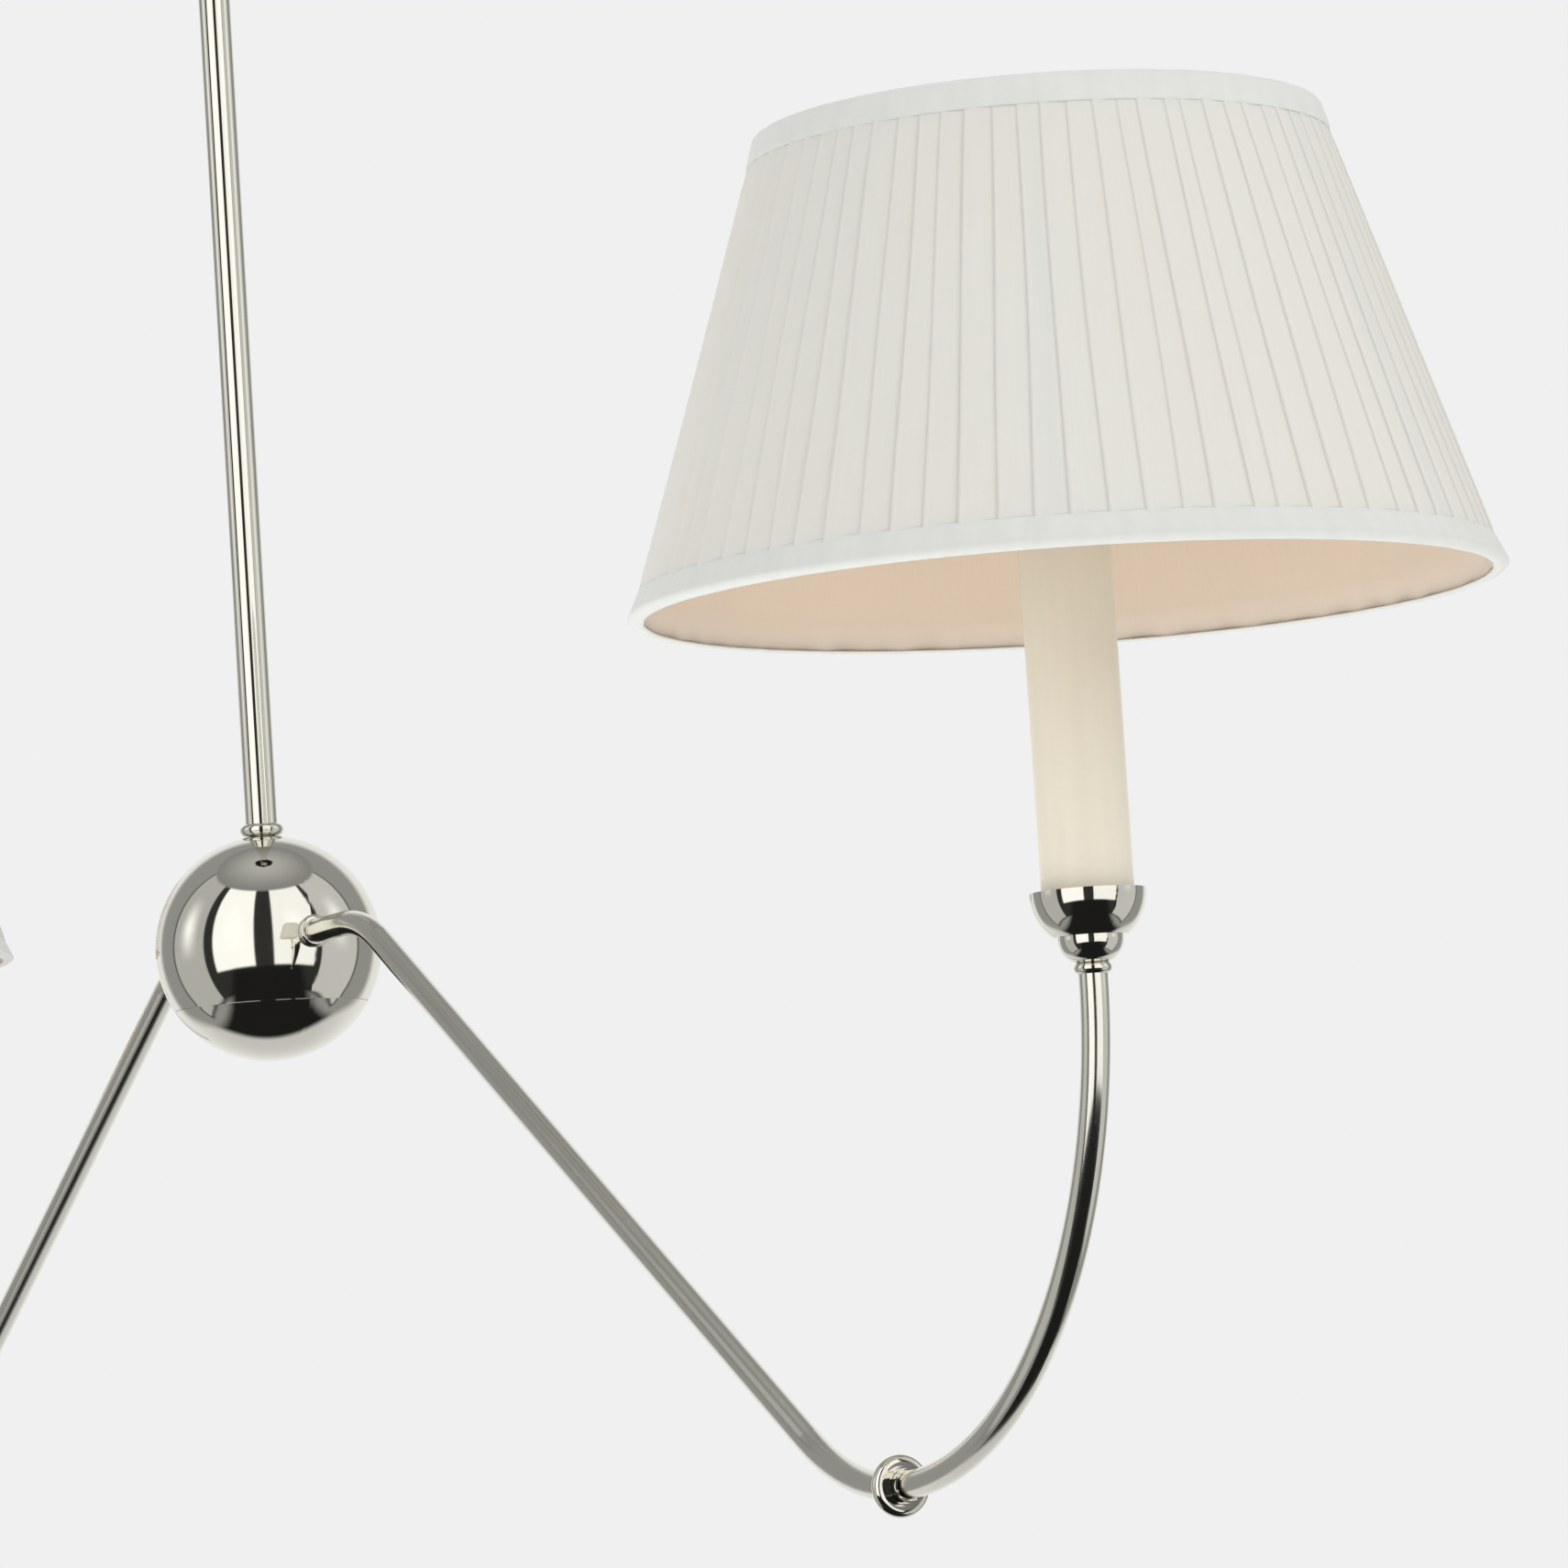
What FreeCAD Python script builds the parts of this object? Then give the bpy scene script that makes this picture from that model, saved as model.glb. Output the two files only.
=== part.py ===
# A two-arm hanging light, in millimetres, +Z up.
# The origin is the centre of the ceiling face.  A stem hangs on a swivel under a round canopy and
# carries a hollow ball.  Two bent arms leave the ball along +X (right) and -X (left).  Each ends in
# a stepped knuckle, from which a curved upright rises to a candle lamp with a pleated shade.
import FreeCAD, Part
import math
import os
import re
import Sketcher
from FreeCAD import Placement, Rotation, Vector

SIZES = [
    # ceiling plate
    ("ceiling_drop", 600.0, "ceiling to the centre of the ball"),
    ("canopy_radius", 63.5, "outside of the canopy"),
    ("canopy_depth", 25.0, "ceiling to the canopy's lower face"),
    ("canopy_corner", 9.0, "rounding between the canopy's side and its lower face"),
    ("canopy_wall", 1.2, "canopy metal"),
    ("strap_length", 112.0, "mounting strap, end to end"),
    ("strap_width", 20.0, "mounting strap, across"),
    ("strap_thick", 2.5, "mounting strap metal"),
    ("slot_spacing", 88.9, "between the centres of the two box-screw slots"),
    ("slot_width", 5.0, "box-screw slot, across"),
    ("slot_span", 12.0, "box-screw slot, end to end"),
    ("strap_port_radius", 6.5, "wire hole in the middle of the strap"),
    ("stud_spacing", 63.5, "between the two canopy studs"),
    ("stud_radius", 2.1, "canopy stud"),
    ("stud_tail", 6.0, "stud below the canopy"),
    ("cap_nut_radius", 5.0, "ball-ended nut on each stud"),
    ("cap_nut_skirt", 4.0, "straight part of the ball-ended nut"),
    # hang-straight swivel
    ("nipple_radius", 4.85, "threaded pipe that joins swivel, hub and lamp parts"),
    ("nipple_bore", 3.3, "wire way in the threaded pipe"),
    ("nut_corner_radius", 8.2, "hexagon nut, centre to corner"),
    ("nut_height", 4.0, "hexagon nut"),
    ("swivel_radius", 11.0, "swivel socket"),
    ("swivel_height", 17.0, "swivel socket, below the canopy"),
    ("swivel_wall", 3.0, "swivel socket's wall, roof and lip"),
    ("neck_radius", 5.0, "yoke's turning neck"),
    ("yoke_radius", 9.0, "yoke's body"),
    ("yoke_drop", 12.0, "yoke's body down to the tilt pin"),
    ("ear_radius", 6.5, "rounded end of the yoke's ears"),
    ("ear_thick", 3.0, "each ear"),
    ("tongue_thick", 9.4, "stem head between the ears"),
    ("pin_radius", 2.5, "tilt pin"),
    ("pin_head_radius", 4.0, "tilt pin's heads"),
    ("pin_head_thick", 1.2, "tilt pin's heads"),
    ("head_drop", 9.0, "tilt pin to the stem head's shoulder"),
    ("head_radius", 9.5, "stem head's shoulder"),
    ("head_height", 6.0, "stem head's shoulder"),
    ("head_spigot", 14.0, "stem head inside the stem"),
    # stem and ball
    ("stem_radius", 6.35, "half-inch stem"),
    ("stem_wall", 1.35, "stem metal"),
    ("stem_ring_radius", 8.65, "ring at the foot of the stem"),
    ("stem_ring_height", 4.7, "ring at the foot of the stem"),
    ("ball_radius", 44.45, "three-and-a-half-inch ball"),
    ("ball_wall", 1.25, "ball metal"),
    ("ball_seam", 23.0, "ball's centre down to the seam of its screw cap"),
    ("cap_lip_height", 6.0, "cap's lip inside the ball"),
    ("cap_lip_wall", 1.2, "cap's lip"),
    ("hub_radius", 17.0, "hub block inside the ball"),
    ("hub_height", 22.0, "hub block"),
    # arms
    ("arm_radius", 4.7625, "three-eighths-inch arm tube"),
    ("arm_wall", 0.9, "arm metal"),
    ("arm_rise", 2.5, "arm's axis above the ball's centre where it leaves the ball"),
    ("arm_seat", 10.0, "hub's centre to the arm's inner end"),
    ("arm_ring_radius", 6.4, "ring where the arm leaves the ball"),
    ("arm_ring_thick", 3.0, "ring where the arm leaves the ball"),
    ("shoulder_reach", 92.1, "hub's centre to the arm's upper corner"),
    ("shoulder_bend", 60.0, "radius of the upper bend"),
    ("elbow_bend", 118.0, "radius of the lower bend"),
    ("elbow_tail", 39.0, "lower corner to the knuckle's face"),
    ("knuckle_drop", 228.0, "ball's centre down to the knuckle's axis"),
    ("lamp_reach", 660.3, "hub's centre to the candle's axis"),
    ("neck_drop", 71.0, "ball's centre down to the lower face of the lamp's neck ring"),
    # knuckle
    ("knuckle_lead", 4.4, "knuckle's face beyond the start of the upright's curve"),
    ("flange_radius", 10.6, "round-edged disc of the knuckle"),
    ("flange_thick", 5.0, "round-edged disc of the knuckle"),
    ("knuckle_wall", 1.2, "between the arm's seat and the knuckle's face"),
    ("step_radius", 6.75, "small disc beside it"),
    ("step_thick", 2.2, "small disc beside it"),
    ("spigot_radius", 3.35, "hollow pivot inside the upright"),
    ("spigot_bore", 2.75, "wire way in the pivot"),
    ("spigot_length", 6.0, "pivot beyond the knuckle's face"),
    ("ferrule_wall", 1.1875, "ring on the upright's end, outside the tube"),
    ("ferrule_thick", 2.6, "ring on the upright's end"),
    # upright and lamp, heights counted from the lower face of the neck ring
    ("upright_straight", 0.5, "straight part of the upright below the neck ring"),
    ("upright_top", 6.0, "upper end of the upright's tube"),
    ("neck_ring_radius", 6.2, "ring under the lamp"),
    ("neck_ring_height", 3.7, "ring under the lamp"),
    ("dome_radius", 10.65, "small bowl under the cup"),
    ("dome_height", 8.3, "small bowl under the cup"),
    ("dome_foot_wall", 0.8375, "small bowl's lower edge, outside the tube"),
    ("cup_radius", 18.8, "hemispherical cup"),
    ("cup_rise", 14.4, "cup's floor to its rim"),
    ("cup_wall", 1.2, "cup metal"),
    ("candle_radius", 14.85, "candle sleeve"),
    ("candle_wall", 1.65, "candle sleeve"),
    ("candle_top", 141.0, "upper end of the candle sleeve"),
    ("post_drop", 31.0, "candle sleeve's upper end down to that of the lampholder's pipe"),
    ("holder_radius", 12.9, "lampholder inside the candle sleeve"),
    ("holder_drop", 40.0, "candle sleeve's upper end down to the lampholder's lower end"),
    ("holder_thread_radius", 14.0, "lampholder's threaded end"),
    ("holder_thread", 12.0, "lampholder above the candle sleeve"),
    ("holder_bore", 7.2, "bulb socket"),
    ("holder_depth", 35.0, "bulb socket"),
    ("contact_radius", 5.0, "centre contact's seat"),
    ("contact_height", 6.0, "centre contact"),
    ("shade_nut_radius", 17.6, "threaded rings that hold the shade"),
    ("shade_nut_height", 3.5, "threaded rings that hold the shade"),
    # bulb
    ("base_radius", 6.9, "bulb's screw base"),
    ("base_height", 28.5, "bulb's screw base"),
    ("bulb_radius", 17.5, "widest part of the glass"),
    ("bulb_tip_radius", 3.0, "rounded tip of the glass"),
    ("bulb_taper", 20.0, "degrees, lean of the glass above its belly"),
    ("bulb_flare", 25.0, "degrees, lean of the glass below its belly"),
    ("bulb_mouth", 6.5, "glass where it meets the base"),
    ("bulb_wall", 0.8, "glass"),
    # shade
    ("shade_foot", 119.4, "neck ring up to the shade's lower edge"),
    ("shade_height", 154.6, "lower edge to upper edge"),
    ("shade_foot_radius", 139.1, "cover at its lower edge"),
    ("shade_top_radius", 91.3, "cover at its upper edge"),
    ("cover_thick", 0.8, "pleated cover"),
    ("lining_thick", 0.5, "smooth lining"),
    ("tape_thick", 0.8, "edge tape"),
    ("tape_gap", 0.1, "between tape, cloth and wire"),
    ("wire_radius", 1.1, "frame rings"),
    ("rib_radius", 0.95, "frame ribs and spider arms"),
    ("band_height", 7.5, "plain tape outside the cover"),
    ("tape_inside", 4.0, "plain tape inside the lining"),
    ("fitter_radius", 21.0, "ring that the shade hangs by"),
    ("fitter_thick", 1.6, "ring that the shade hangs by"),
    # clearances
    ("slip", 0.05, "around a tube or thread in its seat"),
    ("running", 0.06, "around a pin or neck that turns"),
    ("free_gap", 0.3, "between pieces that move past each other"),
    ("lead_radius", 2.4, "sleeved wires inside the tubes"),
]
NAMES = {name for name, _, _ in SIZES}

# places worked out from the sizes
PIN_LEVEL = "(canopy_depth + swivel_height + free_gap + yoke_drop)"
STEM_TOP = f"({PIN_LEVEL} + head_drop + head_height)"
BALL_INSIDE = "(ball_radius - ball_wall)"
UPRIGHT_BEND = "(knuckle_drop - neck_drop - upright_straight)"
KNUCKLE_REACH = f"(lamp_reach - {UPRIGHT_BEND} + knuckle_lead)"
UPRIGHT_START = "(step_thick + free_gap)"
DOME_TOP = "(neck_ring_height + dome_height)"
CUP_RIM = f"({DOME_TOP} + cup_rise)"
CANDLE_BORE = "(candle_radius - candle_wall)"
CUP_INSIDE = "(cup_radius - cup_wall)"
CANDLE_FOOT = f"({CUP_RIM} - sqrt({CUP_INSIDE}^2 - candle_radius^2) + free_gap)"
HOLDER_TOP = "(candle_top + holder_thread)"
HOLDER_FOOT = "(candle_top - holder_drop)"
POST_TOP = "(candle_top - post_drop)"
CONTACT_SEAT = f"({HOLDER_TOP} - holder_depth)"
LOWER_NUT = "(candle_top + free_gap)"
FITTER_LEVEL = f"({LOWER_NUT} + shade_nut_height + free_gap)"
UPPER_NUT = f"({FITTER_LEVEL} + fitter_thick + free_gap)"
BASE_FOOT = f"({CONTACT_SEAT} + contact_height + free_gap)"
GLASS_FOOT = f"({BASE_FOOT} + base_height)"
STACK = "(cover_thick + lining_thick + 2 * wire_radius + 2 * tape_gap)"
EDGE_ROUND = f"(({STACK} + 2 * tape_gap + 2 * tape_thick) / 2)"
COVER_FOOT = f"(shade_foot + {EDGE_ROUND})"
COVER_TOP = f"(shade_foot + shade_height - {EDGE_ROUND})"
LEAN = f"((shade_foot_radius - shade_top_radius) / ({COVER_TOP} - {COVER_FOOT}))"
WIRE_SEAT = "(cover_thick + tape_gap + wire_radius)"

BEAD_SHARE = 0.85  # of a small ring's wall, taken by its rounded edge
RIB_COUNT = 6
SPIDER_COUNT = 3
SIDES = (("right", 1), ("left", -1))

document = FreeCAD.newDocument("hanging_light")
sheet = document.addObject("Spreadsheet::Sheet", "sizes")
nodes = []


# ---------------------------------------------------------------- helpers

def fill_sheet():
    """Write each size, its name and its meaning in a row of the sheet."""
    for row, (name, value, meaning) in enumerate(SIZES, start=1):
        sheet.set(f"A{row}", name)
        sheet.set(f"B{row}", str(value))
        sheet.set(f"C{row}", meaning)
        sheet.setAlias(f"B{row}", name)
    document.recompute()


def bound(formula):
    """Turn a formula of size names into an expression that reads the sheet."""
    return re.sub(r"[a-z][a-z_]*", lambda word: prefixed(word.group()), formula)


def prefixed(word):
    return f"sizes.{word}" if word in NAMES else word


def number(formula):
    """The present value of a formula of size names."""
    result = sheet.evalExpression(bound(formula))
    return float(getattr(result, "Value", result))


def keep(item, name):
    """Name a finished piece and list it for export."""
    item.Label = name
    nodes.append(item)
    return item


def place(item, across="0", up="0", turn=0):
    """Put a piece at a distance along X and Z, turned about Z."""
    item.Placement = Placement(Vector(0, 0, 0), Rotation(Vector(0, 0, 1), turn))
    item.setExpression("Placement.Base.x", bound(across))
    item.setExpression("Placement.Base.z", bound(up))
    return item


def new_body(name):
    body = document.addObject("PartDesign::Body", f"{name}_body")
    body.Label = f"{name} body"
    return body


def new_sketch(body, name, role, offset="0"):
    """A sketch on one of the body's own origin planes, moved along the plane's normal."""
    sketch = body.newObject("Sketcher::SketchObject", name)
    plane = [item for item in body.Origin.OriginFeatures if item.Role == role][0]
    sketch.AttachmentSupport = [(plane, "")]
    sketch.MapMode = "FlatFace"
    if offset != "0":
        sketch.setExpression("AttachmentOffset.Base.z", bound(offset))
    return sketch


def fix_point(sketch, shape, end, across, up):
    """Hold one end of a sketch shape at a place given by two formulas."""
    for kind, formula, axis in (("DistanceX", across, -2), ("DistanceY", up, -1)):
        if formula == "0":
            sketch.addConstraint(Sketcher.Constraint("PointOnObject", shape, end, axis))
            continue
        held = Sketcher.Constraint(kind, -1, 1, shape, end, number(formula))
        index = sketch.addConstraint(held)
        sketch.setExpression(f"Constraints[{index}]", bound(formula))


def fix_radius(sketch, shape, radius):
    index = sketch.addConstraint(Sketcher.Constraint("Radius", shape, number(radius)))
    sketch.setExpression(f"Constraints[{index}]", bound(radius))


def add_circle(sketch, radius, across="0", up="0"):
    centre = Vector(number(across), number(up), 0)
    shape = sketch.addGeometry(Part.Circle(centre, Vector(0, 0, 1), number(radius)), False)
    fix_point(sketch, shape, 3, across, up)
    fix_radius(sketch, shape, radius)


def arc_between(first, last, radius, bend):
    """An arc from first to last; bend is 1 when its centre lies to the left of the way."""
    chord = last - first
    left = Vector(-chord.y, chord.x, 0) / chord.Length
    rise = math.sqrt(max(radius ** 2 - (chord.Length / 2) ** 2, 0))
    centre = (first + last) / 2 + left * rise * bend
    start, stop = (first, last) if bend > 0 else (last, first)
    angles = [math.atan2(point.y - centre.y, point.x - centre.x) for point in (start, stop)]
    return Part.ArcOfCircle(Part.Circle(centre, Vector(0, 0, 1), radius), angles[0], angles[1])


def add_outline(sketch, corners):
    """Close an outline.  A corner is (across, up), or (across, up, radius, bend) when an arc leads
    to it from the corner before; the radius "half" makes that arc a half circle."""
    points = [Vector(number(corner[0]), number(corner[1]), 0) for corner in corners]
    count = len(corners)
    ends = []
    for index in range(count):
        here, there = points[index], points[(index + 1) % count]
        corner = corners[(index + 1) % count]
        if len(corner) == 2:
            shape = sketch.addGeometry(Part.LineSegment(here, there), False)
            ends.append((shape, 1, 2))
            continue
        half = corner[2] == "half"
        radius = (there - here).Length / 2 if half else number(corner[2])
        shape = sketch.addGeometry(arc_between(here, there, radius, corner[3]), False)
        ends.append((shape, 1, 2) if corner[3] > 0 else (shape, 2, 1))
    for index in range(count):
        shape, start, stop = ends[index]
        after, after_start, _ = ends[(index + 1) % count]
        sketch.addConstraint(Sketcher.Constraint("Coincident", shape, stop, after, after_start))
        fix_point(sketch, shape, start, corners[index][0], corners[index][1])
    for index in range(count):
        corner = corners[(index + 1) % count]
        shape = ends[index][0]
        if len(corner) == 2:
            continue
        if corner[2] == "half":
            sketch.addConstraint(Sketcher.Constraint("Symmetric", shape, 1, shape, 2, shape, 3))
        else:
            fix_radius(sketch, shape, corner[2])


def turned(name, corners, axis="V_Axis"):
    """A body turned about Z (V_Axis) or X (H_Axis) from an outline in the XZ plane."""
    body = new_body(name)
    sketch = new_sketch(body, f"{name}_outline", "XZ_Plane")
    add_outline(sketch, corners)
    feature = body.newObject("PartDesign::Revolution", f"{name}_turning")
    feature.Profile = sketch
    feature.ReferenceAxis = (sketch, [axis])
    feature.Angle = 360
    return body


def tube_outline(radius, bore, low, high):
    """The outline of a plain ring or sleeve."""
    return [(bore, low), (radius, low), (radius, high), (bore, high)]


def bead_outline(radius, bore, low, high):
    """The outline of a ring whose outer edge bulges in an arc."""
    bulge = f"({BEAD_SHARE} * ({radius} - {bore}))"
    edge = f"({radius} - {bulge})"
    curve = f"((({high} - {low})^2 / 4 + {bulge}^2) / (2 * {bulge}))"
    return [(bore, low), (edge, low), (edge, high, curve, 1), (bore, high)]


def add_path(sketch, corners):
    """An open path of straight runs joined by tangent arcs.  The first and last corners are
    (across, up), the others (across, up, bend radius)."""
    points = [Vector(number(corner[0]), number(corner[1]), 0) for corner in corners]
    starts, stops, arcs = [points[0]], [], []
    for index in range(1, len(corners) - 1):
        back = (points[index - 1] - points[index]).normalize()
        ahead = (points[index + 1] - points[index]).normalize()
        radius = number(corners[index][2])
        half_turn = (math.pi - back.getAngle(ahead)) / 2
        length = radius * math.tan(half_turn)
        first = points[index] + back * length
        last = points[index] + ahead * length
        bend = 1 if (ahead.x * back.y - ahead.y * back.x) > 0 else -1
        stops.append(first)
        starts.append(last)
        arcs.append((arc_between(first, last, radius, bend), bend))
    stops.append(points[-1])
    lines = [sketch.addGeometry(Part.LineSegment(a, b), False) for a, b in zip(starts, stops)]
    fix_point(sketch, lines[0], 1, corners[0][0], corners[0][1])
    fix_point(sketch, lines[-1], 2, corners[-1][0], corners[-1][1])
    for index, (arc, bend) in enumerate(arcs):
        shape = sketch.addGeometry(arc, False)
        mark = sketch.addGeometry(Part.Point(points[index + 1]), True)
        corner = corners[index + 1]
        fix_point(sketch, mark, 1, corner[0], corner[1])
        start, stop = (1, 2) if bend > 0 else (2, 1)
        before, after = lines[index], lines[index + 1]
        sketch.addConstraint(Sketcher.Constraint("PointOnObject", mark, 1, before))
        sketch.addConstraint(Sketcher.Constraint("PointOnObject", mark, 1, after))
        sketch.addConstraint(Sketcher.Constraint("Tangent", before, 2, shape, start))
        sketch.addConstraint(Sketcher.Constraint("Tangent", shape, stop, after, 1))
        fix_radius(sketch, shape, corner[2])


def swept(name, path, section):
    """A body swept along a path sketch from a section sketch."""
    feature = path.getParentGeoFeatureGroup().newObject("PartDesign::AdditivePipe", f"{name}_sweep")
    feature.Profile = section
    feature.Spine = (path, [f"Edge{index + 1}" for index in range(len(path.Shape.Edges))])
    return feature


def primitive(kind, name, **sizes):
    """A Part primitive whose sizes are bound to formulas."""
    item = document.addObject(f"Part::{kind}", name)
    for key, formula in sizes.items():
        item.setExpression(key, bound(formula))
    return item


def rod_along_x(name, radius, length, across="0", up="0"):
    """A cylinder along X, centred on a point."""
    rod = primitive("Cylinder", name, Radius=radius, Height=length)
    rod.Placement = Placement(Vector(0, 0, 0), Rotation(Vector(0, 1, 0), 90))
    rod.setExpression("Placement.Base.x", bound(f"{across} - ({length}) / 2"))
    rod.setExpression("Placement.Base.z", bound(up))
    return rod


def block(name, length, width, height, low="0"):
    """A box centred on Z, standing at a level."""
    item = primitive("Box", name, Length=length, Width=width, Height=height)
    item.setExpression("Placement.Base.x", bound(f"-({length}) / 2"))
    item.setExpression("Placement.Base.y", bound(f"-({width}) / 2"))
    item.setExpression("Placement.Base.z", bound(low))
    return item


def joined(name, pieces):
    item = document.addObject("Part::MultiFuse", name)
    item.Shapes = pieces
    return item


def cut(name, base, tool):
    item = document.addObject("Part::Cut", name)
    item.Base = base
    item.Tool = tool
    return item


def group(name, pieces):
    """Separate solids that share one node."""
    item = document.addObject("Part::Compound", name)
    item.Links = pieces
    return item


# ---------------------------------------------------------------- ceiling plate

def make_mounting_strap():
    body = new_body("mounting_strap")
    sketch = new_sketch(body, "strap_outline", "XY_Plane", "-strap_thick")
    half_length, half_width = "(strap_length / 2)", "(strap_width / 2)"
    add_outline(sketch, [(f"-{half_length}", f"-{half_width}"), (half_length, f"-{half_width}"),
                         (half_length, half_width), (f"-{half_length}", half_width)])
    pad = body.newObject("PartDesign::Pad", "strap_pad")
    pad.Profile = sketch
    pad.setExpression("Length", bound("strap_thick"))
    holes = new_sketch(body, "strap_holes", "XY_Plane")
    add_circle(holes, "strap_port_radius")
    half_slot = "(slot_width / 2)"
    for side in (-1, 1):
        add_circle(holes, "stud_radius + slip", f"{side} * stud_spacing / 2")
        middle = f"{side} * slot_spacing / 2"
        low = f"({middle} - (slot_span - slot_width) / 2)"
        high = f"({middle} + (slot_span - slot_width) / 2)"
        add_outline(holes, [(low, f"-{half_slot}", "half", 1), (high, f"-{half_slot}"),
                            (high, half_slot, "half", 1), (low, half_slot)])
    pocket = body.newObject("PartDesign::Pocket", "strap_pocket")
    pocket.Profile = holes
    pocket.Type = "ThroughAll"
    pocket.SideType = "Symmetric"
    return keep(body, "mounting_strap")


def make_canopy():
    inside = "(canopy_radius - canopy_wall)"
    roof = "(canopy_depth - canopy_wall)"
    corner_in = "(canopy_corner - canopy_wall)"
    hole = "(nipple_radius + slip)"
    canopy = turned("canopy_shell", [
        (hole, "-canopy_depth"), ("canopy_radius - canopy_corner", "-canopy_depth"),
        ("canopy_radius", "canopy_corner - canopy_depth", "canopy_corner", 1),
        ("canopy_radius", "0"), (inside, "0"), (inside, f"{corner_in} - {roof}"),
        (f"{inside} - {corner_in}", f"-{roof}", corner_in, -1), (hole, f"-{roof}")])
    holes = new_sketch(canopy, "canopy_stud_holes", "XY_Plane")
    for side in (-1, 1):
        add_circle(holes, "stud_radius + slip", f"{side} * stud_spacing / 2")
    pocket = canopy.newObject("PartDesign::Pocket", "canopy_stud_pocket")
    pocket.Profile = holes
    pocket.Type = "ThroughAll"
    pocket.SideType = "Symmetric"
    return keep(canopy, "canopy")


def make_canopy_fixings():
    """Two studs that hang from the strap and the ball-ended nuts that clamp the canopy on them."""
    length = "(canopy_depth + stud_tail)"
    studs = []
    for side in (-1, 1):
        stud = primitive("Cylinder", "stud", Radius="stud_radius", Height=length)
        studs.append(place(stud, f"{side} * stud_spacing / 2", f"-{length}"))
    keep(group("studs", studs), "canopy_studs")
    bore = "(stud_radius + slip)"
    dome = "(stud_tail + cap_nut_radius)"
    nuts = []
    for side in (-1, 1):
        nut = turned("cap_nut", [
            (bore, "0"), (bore, "-(stud_tail + free_gap)"), ("0", "-(stud_tail + free_gap)"),
            ("0", f"-{dome}"), ("cap_nut_radius", "-stud_tail", "cap_nut_radius", 1),
            ("cap_nut_radius", "0")])
        nuts.append(place(nut, f"{side} * stud_spacing / 2", "-canopy_depth"))
    keep(group("cap_nuts", nuts), "canopy_cap_nuts")


def make_nut(name, low, bore="nipple_radius + slip"):
    """A hexagon nut about Z, standing at a level."""
    prism = primitive("Prism", f"{name}_prism", Circumradius="nut_corner_radius", Height="nut_height")
    hole = primitive("Cylinder", f"{name}_hole", Radius=bore, Height="nut_height")
    nut = cut(f"{name}_nut", prism, hole)
    return place(nut, "0", low)


# ---------------------------------------------------------------- hang-straight swivel

def make_swivel():
    """A socket under the canopy, in which the yoke turns, and the pin on which the stem tilts."""
    low, high = "-(canopy_depth + swivel_height)", "-canopy_depth"
    cavity = "(swivel_radius - swivel_wall)"
    nipple_seat = "(nipple_radius + slip)"
    neck_seat = "(neck_radius + running)"
    socket = turned("swivel_socket", [
        (neck_seat, low), ("swivel_radius", low), ("swivel_radius", high), (nipple_seat, high),
        (nipple_seat, f"{high} - swivel_wall"), (cavity, f"{high} - swivel_wall"),
        (cavity, f"{low} + swivel_wall"), (neck_seat, f"{low} + swivel_wall")])
    keep(socket, "swivel_socket")
    nipple = turned("swivel_nipple", tube_outline("nipple_radius", "nipple_bore",
                    f"({high} - swivel_wall)", f"({high} + canopy_wall + nut_height + stud_radius)"))
    keep(nipple, "swivel_nipple")
    keep(make_nut("swivel", "canopy_wall - canopy_depth"), "swivel_locknut")
    make_yoke(low, cavity)
    pin_end = "(tongue_thick / 2 + free_gap + ear_thick + free_gap)"
    half = [(f"-({pin_end} + pin_head_thick)", "pin_head_radius"), (f"-{pin_end}", "pin_head_radius"),
            (f"-{pin_end}", "pin_radius"), (pin_end, "pin_radius"),
            (pin_end, "pin_head_radius"), (f"{pin_end} + pin_head_thick", "pin_head_radius")]
    outline = [(f"-({pin_end} + pin_head_thick)", "0")] + half + [(f"{pin_end} + pin_head_thick", "0")]
    keep(place(turned("tilt_pin", outline, "H_Axis"), "0", f"-{PIN_LEVEL}"), "tilt_pin")


def make_yoke(socket_low, cavity):
    """The turning yoke: a headed neck in the socket, and two ears around the stem head."""
    top = f"({socket_low} - free_gap)"
    head_low = f"({socket_low} + swivel_wall + free_gap)"
    neck = turned("yoke_neck", [
        ("0", f"{top} - swivel_wall"), ("yoke_radius", f"{top} - swivel_wall"), ("yoke_radius", top),
        ("neck_radius", top), ("neck_radius", head_low), (f"{cavity} - free_gap", head_low),
        (f"{cavity} - free_gap", f"{head_low} + swivel_wall"), ("0", f"{head_low} + swivel_wall")])
    width = "(tongue_thick + 2 * free_gap + 2 * ear_thick)"
    plate = block("ear_block", width, "2 * ear_radius", "yoke_drop - swivel_wall",
                  f"-{PIN_LEVEL}")
    ends = rod_along_x("ear_ends", "ear_radius", width, "0", f"-{PIN_LEVEL}")
    slot = block("ear_slot", "tongue_thick + 2 * free_gap", "4 * ear_radius",
                 "yoke_drop - swivel_wall + ear_radius", f"-{PIN_LEVEL} - ear_radius")
    hole = rod_along_x("ear_hole", "pin_radius + running", f"2 * {width}", "0", f"-{PIN_LEVEL}")
    ears = cut("ears", joined("ear_blank", [plate, ends]), joined("ear_cuts", [slot, hole]))
    keep(joined("yoke", [neck, ears]), "swivel_yoke")


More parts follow.
